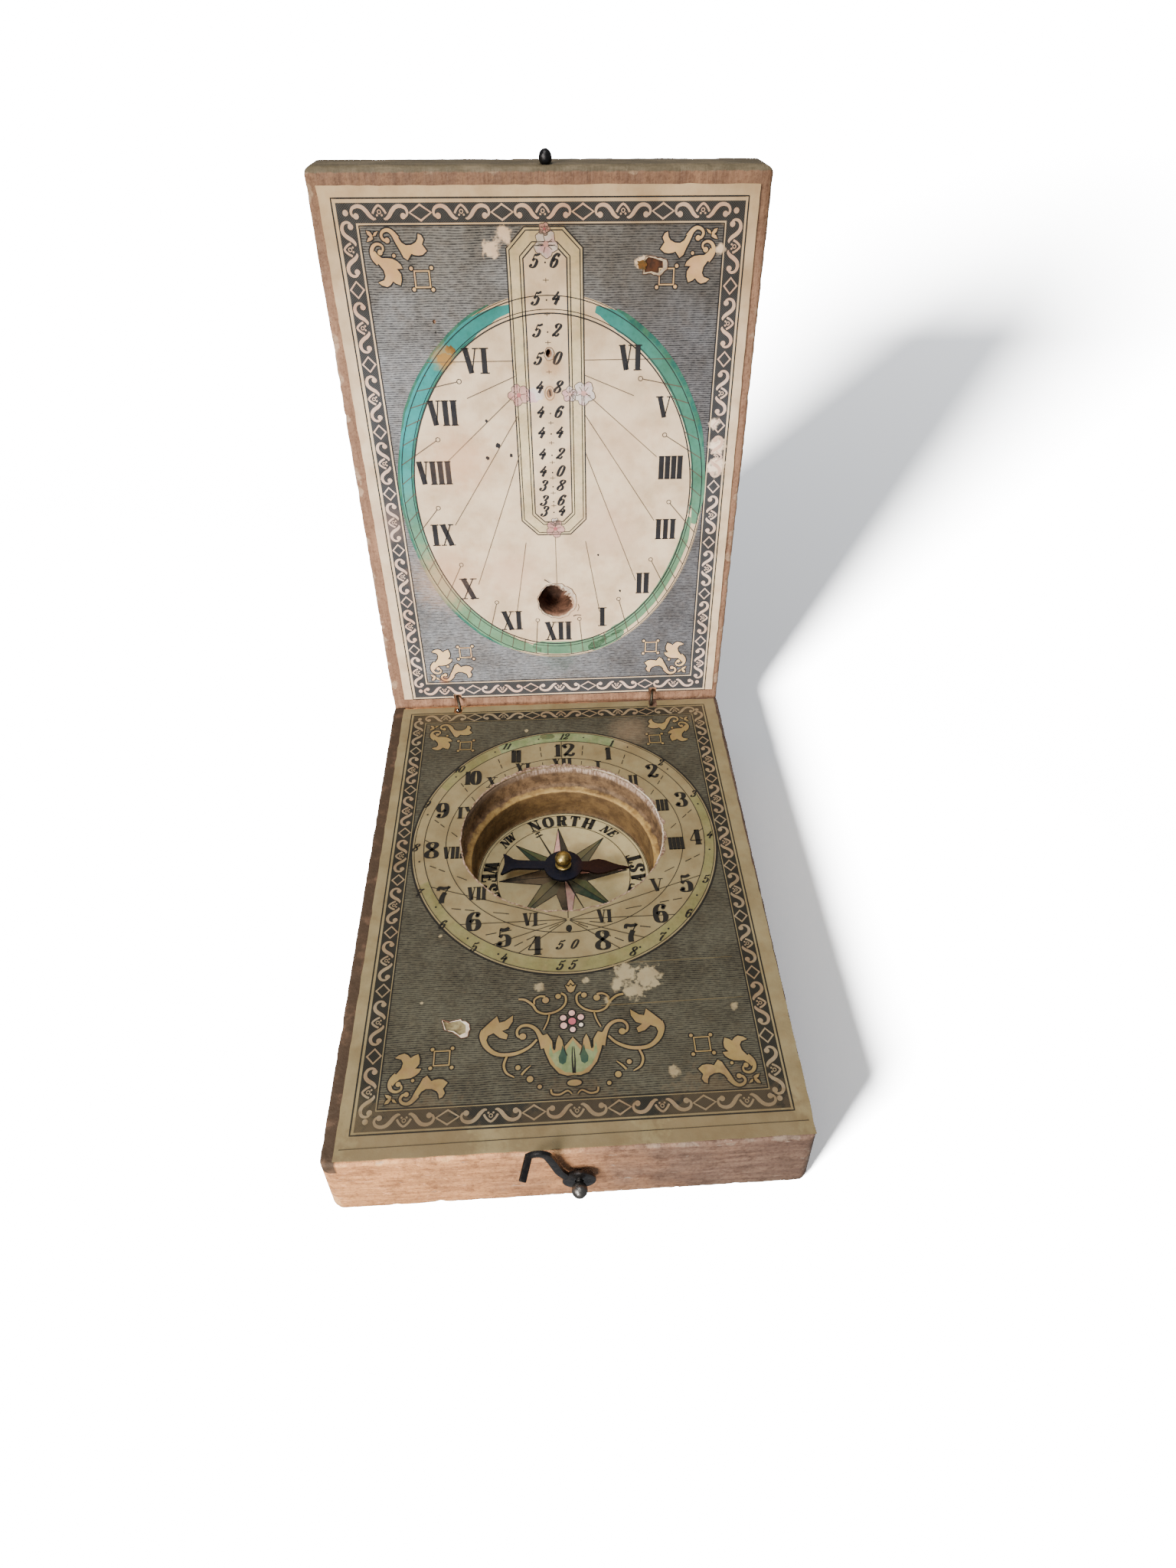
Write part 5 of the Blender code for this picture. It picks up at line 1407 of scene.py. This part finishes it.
def lid_colours(shade, colour):
    """The lid's wood darkens towards its far end and its end face is dark, both painted shade,
    and it darkens inside its recess.
    """
    _, y, z = shade.axes()
    ragged_y = shade.plus(y, shade.waver(0.5, 1.2, 4.0))
    # Painted shade: the wood multiplied darker towards the far end.
    far = shade.step(y, -92.0, -70.0, 1.0, 0.0)
    colour = shade.mix(far, colour, (0.62, 0.60, 0.55), "MULTIPLY")
    # Painted shade: the end face coloured dark, mottled between two browns.
    end_mottle = shade.noise(0.5, 5.0, 0.7, where=shade.place(scale=(0.3, 1.0, 1.6)))
    end = shade.mix(shade.step(end_mottle, 0.4, 0.65), (0.075, 0.058, 0.032), (0.13, 0.10, 0.06))
    colour = shade.mix(shade.step(ragged_y, LID_END + 0.25, LID_END + 0.5, 1.0, 0.0), colour, end)
    within = shade.step(shade.away(*BOB_MIDDLE), 3.5, 3.9, 1.0, 0.0)
    hollow = shade.times(within, shade.step(z, 7.2, 7.6, 1.0, 0.0))
    inner = shade.mix(shade.step(shade.noise(0.8, 4.0), 0.4, 0.6), (0.07, 0.032, 0.018), (0.16, 0.075, 0.045))
    return shade.mix(hollow, colour, inner)


def base_colours(shade, colour):
    """The wood is painted lighter at its left end and darker at its right, as painted light and shade,
    and the front's left end is bared and chipped to orange. The bore is fibrous and pale at the lip,
    whose left side is painted shadow; golden on the ledge, partly the end grain's own tone and partly
    painted light; and brown below, with painted light on the left of the lower wall. A dark strip runs
    along the left edge."""
    x, y, z = shade.axes()
    uneven = shade.plus(x, shade.waver(45.0, 0.12, 5.0, 0.65))
    # Painted light and painted shade: the wood multiplied lighter at the left and darker at the right.
    across = shade.mix(shade.step(uneven, -30.0, 26.0), (1.85, 1.58, 1.08), (0.55, 0.62, 0.74))
    colour = shade.mix(1.0, colour, across, "MULTIPLY")
    flakes = shade.noise(0.8, 6.0, 0.75, where=shade.place(scale=(0.7, 1.0, 1.2), offset=(4, 4, 60)))
    chipped = shade.times(shade.step(flakes, 0.55, 0.63), shade.step(uneven, -26.0, 4.0, 0.9, 0.0))
    front = shade.step(y, FRONT + 0.3, FRONT + 0.9, 1.0, 0.0)
    colour = shade.mix(shade.times(chipped, front), colour, (0.78, 0.38, 0.18))
    dirty = shade.step(shade.noise(0.35, 6.0, 0.7, where=shade.place(offset=(12, 1, 5))), 0.5, 0.62, 0.0,
        0.55)
    colour = shade.mix(dirty, colour, (0.45, 0.42, 0.42), "MULTIPLY")
    scratched = shade.step(shade.noise(1.0, 4.0, 0.7, where=shade.place(scale=(0.5, 1.0, 1.6),
        offset=(70, 1, 3))), 0.63, 0.72, 0.0, 0.55)
    colour = shade.mix(scratched, colour, (0.42, 0.34, 0.27))
    within = shade.step(shade.away(WELL.x / MM, WELL.y / MM), 18.6, 19.0, 1.0, 0.0)
    bore = shade.times(within, shade.step(z, 2.5, 3.0))
    swirl = shade.noise(0.45, 5.0, 0.7)
    wall = shade.mix(shade.step(swirl, 0.35, 0.65), (0.135, 0.080, 0.030), (0.070, 0.038, 0.014))
    height = shade.plus(z, shade.waver(0.6, 0.4, 4.0))
    golden = shade.times(shade.step(height, 9.35, 9.55), shade.step(height, 9.75, 9.95, 1.0, 0.0))
    under = shade.times(shade.step(height, 8.3, 8.6), shade.step(height, 9.35, 9.55, 1.0, 0.0))
    upper = shade.mix(shade.step(swirl, 0.38, 0.62), (0.145, 0.088, 0.045), (0.055, 0.031, 0.015))
    wall = shade.mix(shade.step(height, 9.7, 10.0), wall, upper)
    wall = shade.mix(shade.times(under, 0.12), wall, (0.05, 0.03, 0.012))
    # Painted light: the wall's left half multiplied lighter.
    wall = shade.mix(shade.step(x, -14.0, 4.0, 1.0, 0.0), wall, (1.4, 1.4, 1.4), "MULTIPLY")
    # The ledge band is golden, partly the end grain's own tone and partly painted light on its upward face.
    wall = shade.mix(golden, wall, shade.mix(shade.step(swirl, 0.4, 0.6), (0.36, 0.235, 0.08),
        (0.24, 0.14, 0.045)))
    fibres = shade.noise(1.0, 5.0, 0.7, where=shade.place(scale=(2.5, 2.5, 0.5)))
    right = shade.step(shade.plus(x, shade.times(y, 0.2)), -9.0, 6.0)
    lip = shade.mix(shade.step(fibres, 0.4, 0.62), (0.13, 0.08, 0.05), (0.36, 0.26, 0.20))
    # Painted shadow: the lip's left side is coloured dark, where the bore wall shades it.
    lip = shade.mix(right, (0.10, 0.065, 0.04), lip)
    wall = shade.mix(shade.step(height, 13.0, 13.8), wall, lip)
    out = shade.mix(bore, colour, wall)
    strip = shade.times(shade.step(x, -31.5, -31.1, 1.0, 0.0), shade.step(z, 11.8, 12.4))
    dark = shade.mix(shade.step(shade.noise(0.4, 4.0), 0.5, 0.75), (0.045, 0.026, 0.014),
        (0.11, 0.062, 0.036))
    return shade.mix(strip, out, dark)


# ---------------------------------------------------------------- metal

def metal(name, dark, light, rough, worn_share=0.35, metallic=0.9, patch=None):
    shade = Shade(name)
    cloud = shade.noise(0.9, 5.0, 0.65)
    colour = shade.mix(shade.step(cloud, 0.45, 0.7, 0.0, worn_share), dark, light)
    if patch:
        colour = patch(shade, colour)
    pits = shade.noise(4.0, 4.0, 0.7)
    return shade.finish(colour, shade.step(shade.noise(2.0, 4.0), 0.3, 0.7, rough - 0.1, rough + 0.15),
        metallic, bump=pits, depth=0.04)


def smoothed(node, name, body, material, slot, bevel=0.0):
    """A rounder copy of a CAD metal piece: welded, its edges eased, and shaded smooth."""
    bm = bmesh.new()
    bm.from_mesh(frame["nodes"][node].data)
    bmesh.ops.remove_doubles(bm, verts=bm.verts, dist=0.002 * MM)
    bmesh.ops.recalc_face_normals(bm, faces=bm.faces)
    if bevel:
        sharp = [e for e in bm.edges if e.is_manifold and e.calc_face_angle() > radians(50)]
        bmesh.ops.bevel(bm, geom=sharp, offset=bevel * MM, segments=2, profile=0.6, affect="EDGES",
            clamp_overlap=True)
    for face in bm.faces:
        face.smooth = True
    for edge in bm.edges:
        edge.smooth = not (edge.is_manifold and edge.calc_face_angle() > radians(42))
    mesh = bpy.data.meshes.new(name)
    bm.to_mesh(mesh)
    bm.free()
    mesh.materials.append(material)
    made = bpy.data.objects.new(name, mesh)
    bpy.context.scene.collection.objects.link(made)
    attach(made, body)
    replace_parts(made, node)
    return made


def hinge_ring(node, name, tilt, material):
    """A loop of soft iron wire, bent by hand, so it is a little out of round and stands askew."""
    low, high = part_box(node)
    wire_radius = 0.31 * MM
    radius = (high.z - low.z) / 2 - wire_radius
    bpy.ops.mesh.primitive_torus_add(major_segments=60, minor_segments=12, major_radius=radius,
        minor_radius=wire_radius)
    made = bpy.context.active_object
    made.name = name
    stand = (Matrix.Translation((low + high) / 2) @ Matrix.Rotation(tilt, 4, "Z")
             @ Matrix.Rotation(pi / 2, 4, "Y"))
    for vertex in made.data.vertices:
        turn = atan2(vertex.co.y, vertex.co.x)
        vertex.co *= 1 - 0.03 - 0.03 * cos(3 * turn + 10 * tilt)
    made.data.transform(stand)
    made.data.polygons.foreach_set("use_smooth", [True] * len(made.data.polygons))
    made.data.materials.append(material)
    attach(made, "base")
    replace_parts(made, node)


def reddened(shade, colour):
    """The needle's east arm has lost its blue."""
    x, _, _ = shade.axes()
    share = shade.step(shade.plus(x, shade.noise(0.8)), 2.0, 4.5)
    return shade.mix(share, colour, (0.026, 0.012, 0.011))


# ---------------------------------------------------------------- build it

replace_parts(draw_lid(), "lid_dial_paper")
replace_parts(draw_base(), "base_dial_paper")
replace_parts(draw_card(), "compass_card")

base_wood = worn_leaf("base_leaf", "base_wood", "base", Matrix.Identity(4), wear=0.2, seed=3.0, reach=0.7,
                      widen={-1: (0.8, 0.45), 1: (0.6, -0.2)}, far_reach=0.0, flare=0.8, corner_radius=1.4)
lid_wood = worn_leaf("lid_leaf", "lid_wood", "lid", LID_FRAME, wear=0.2, seed=11.0, reach=1.9,
                     widen={-1: (0.8, -0.2), 1: (0.6, 1.2)}, far_reach=0.45, flare=0.0, corner_radius=1.3)
base_finish = wood("base_wood", light=(0.42, 0.23, 0.135), dark=(0.24, 0.125, 0.075), pale=(0.42, 0.27, 0.17),
                   grain=(0.09, 0.06, 0.9), extra=base_colours)
lid_finish = wood("lid_wood", light=(0.38, 0.21, 0.125), dark=(0.22, 0.115, 0.07), pale=(0.42, 0.28, 0.18),
                  grain=(0.5, 0.05, 0.4), extra=lid_colours)
for leaf, finish in ((base_wood, base_finish), (lid_wood, lid_finish)):
    leaf.data.materials.clear()
    leaf.data.materials.append(finish)

iron = metal("iron", (0.035, 0.033, 0.034), (0.13, 0.105, 0.085), 0.30)
wire = metal("wire", (0.05, 0.042, 0.03), (0.16, 0.12, 0.08), 0.40)
nail = metal("nail", (0.12, 0.115, 0.11), (0.05, 0.04, 0.035), 0.28)
knob = metal("knob", (0.022, 0.021, 0.022), (0.045, 0.04, 0.035), 0.34)
steel = metal("steel", (0.22, 0.21, 0.2), (0.10, 0.07, 0.05), 0.4)
blue = metal("blued_steel", (0.014, 0.016, 0.030), (0.03, 0.028, 0.034), 0.42, patch=reddened)
gold = metal("brass", (0.36, 0.26, 0.085), (0.17, 0.12, 0.045), 0.36, 0.7, 1.0)
for node, name, body, material, slot_name, bevel in (("latch_hook", "hook", "hook", iron, "iron", 0.1),
    ("hook_pin", "hook_nail", "base", nail, "iron", 0.0), ("catch_stud", "stud", "lid", knob, "iron", 0.0),
    ("compass_needle", "needle", "needle", blue, "blued_steel", 0.08),
    ("needle_cap", "cap", "needle", gold, "brass", 0.0), ("compass_pivot", "pivot", "base", steel, "steel",
    0.0)):
    smoothed(node, name, body, material, slot_name, bevel)
hinge_ring("hinge_ring_left", "ring_left", radians(13), wire)
hinge_ring("hinge_ring_right", "ring_right", radians(-11), wire)

# ---------------------------------------------------------------- floor, light and camera

# The floor's white, and how it grows with the distance from its lamp, so that it stays evenly lit.
FLOOR_WHITE = 2.3
WHITER_PER_MM = 0.0024
WHITER_FROM = 0.09
FLOOR_LAMP = (-188, -210, 177)
FLOOR_HALF = 4.0
FLOOR_BELOW = -0.0002
SKY_COLOUR = (0.93, 0.96, 1.0, 1.0)
SKY_STRENGTH = 0.36

floor_mesh = bpy.data.meshes.new("floor")
floor_corners = [(FLOOR_HALF * x, FLOOR_HALF * y, FLOOR_BELOW) for x,
    y in ((-1, -1), (1, -1), (1, 1), (-1, 1))]
floor_mesh.from_pydata(floor_corners, [], [(0, 1, 2, 3)])
floor = bpy.data.objects.new("floor", floor_mesh)
bpy.context.scene.collection.objects.link(floor)
floor_shade = Shade("floor")
floor_far = floor_shade.away(*FLOOR_LAMP[:2])
brighter = floor_shade.maths("MULTIPLY_ADD", floor_far, FLOOR_WHITE * WHITER_PER_MM,
    FLOOR_WHITE * WHITER_FROM)
brighter = floor_shade.maths("MAXIMUM", brighter, FLOOR_WHITE)
white = floor_shade.add("ShaderNodeCombineXYZ", {0: brighter, 1: brighter, 2: brighter}).outputs[0]
floor_mesh.materials.append(floor_shade.finish(white, 1.0, specular=0.0))
floor.visible_diffuse = False
floor.visible_glossy = False

world = bpy.data.worlds.new("studio")
bpy.context.scene.world = world
world.use_nodes = True
sky = world.node_tree.nodes["Background"].inputs
sky["Color"].default_value = SKY_COLOUR
sky["Strength"].default_value = SKY_STRENGTH

only_floor = bpy.data.collections.new("only_floor")
only_floor.objects.link(floor)
not_floor = bpy.data.collections.new("not_floor")
not_floor.objects.link(floor)
not_floor.collection_objects[0].light_linking.link_state = "EXCLUDE"


def lamp(name, kind, place, target, energy, colour, lights, **settings):
    """A lamp at a place, turned to its target, and the collection that says what it lights."""
    data = bpy.data.lights.new(name, kind)
    data.energy, data.color = energy, colour
    for key, value in settings.items():
        setattr(data, key, value)
    made = bpy.data.objects.new(name, data)
    made.location = Vector(place) * MM
    made.rotation_mode = "QUATERNION"
    made.rotation_quaternion = ((Vector(target) - Vector(place)) * MM).to_track_quat("-Z", "Y")
    made.light_linking.receiver_collection = lights
    bpy.context.scene.collection.objects.link(made)
    return data


floor_lamp = lamp("floor_lamp", "POINT", FLOOR_LAMP, (0, 0, 0), 630.0, (1.0, 1.0, 1.0), only_floor,
    shadow_soft_size=0.046)
floor_lamp.use_nodes = True
lamp_nodes = floor_lamp.node_tree
even = lamp_nodes.nodes.new("ShaderNodeLightFalloff")
even.inputs["Strength"].default_value = 1.0
lamp_nodes.links.new(even.outputs["Constant"], lamp_nodes.nodes["Emission"].inputs["Strength"])
lamp("above", "AREA", (-60, -80, 420), (0, 5, 10), 1.0, (1.0, 0.98, 0.95), not_floor, size=0.16)
lamp("key", "AREA", (-370, -400, 300), (0, 20, 40), 7.0, (1.0, 0.96, 0.90), not_floor, size=0.22)
lamp("low", "SPOT", (-120, -300, 62), (0, 47, 22), 5.0, (1.0, 0.95, 0.88), not_floor, spot_size=radians(34),
     spot_blend=1.0, shadow_soft_size=0.05)

AZIMUTH, ELEVATION, ROLL = radians(3.977), radians(42.897), radians(0.548)
CAMERA_AT = (0.17, -97.2, 133.1)
SENSOR, LENS = 36.0, 27.305
SHIFT_X, SHIFT_Y = -0.0149, -0.0250
NEAREST, FARTHEST = 0.005, 20.0

look = Vector((sin(AZIMUTH) * cos(ELEVATION), cos(AZIMUTH) * cos(ELEVATION), -sin(ELEVATION)))
right = look.cross(Vector((0, 0, 1))).normalized()
up = right.cross(look)
side = right * cos(ROLL) + up * sin(ROLL)
top = up * cos(ROLL) - right * sin(ROLL)
camera_data = bpy.data.cameras.new("camera")
camera_data.sensor_fit, camera_data.sensor_width, camera_data.lens = "HORIZONTAL", SENSOR, LENS
camera_data.shift_x, camera_data.shift_y = SHIFT_X, SHIFT_Y
camera_data.clip_start, camera_data.clip_end = NEAREST, FARTHEST
camera = bpy.data.objects.new("camera", camera_data)
bpy.context.scene.collection.objects.link(camera)
camera_turn = Matrix((side, top, -look)).transposed().to_4x4()
camera.matrix_world = Matrix.Translation(Vector(CAMERA_AT) * MM) @ camera_turn
bpy.context.scene.camera = camera
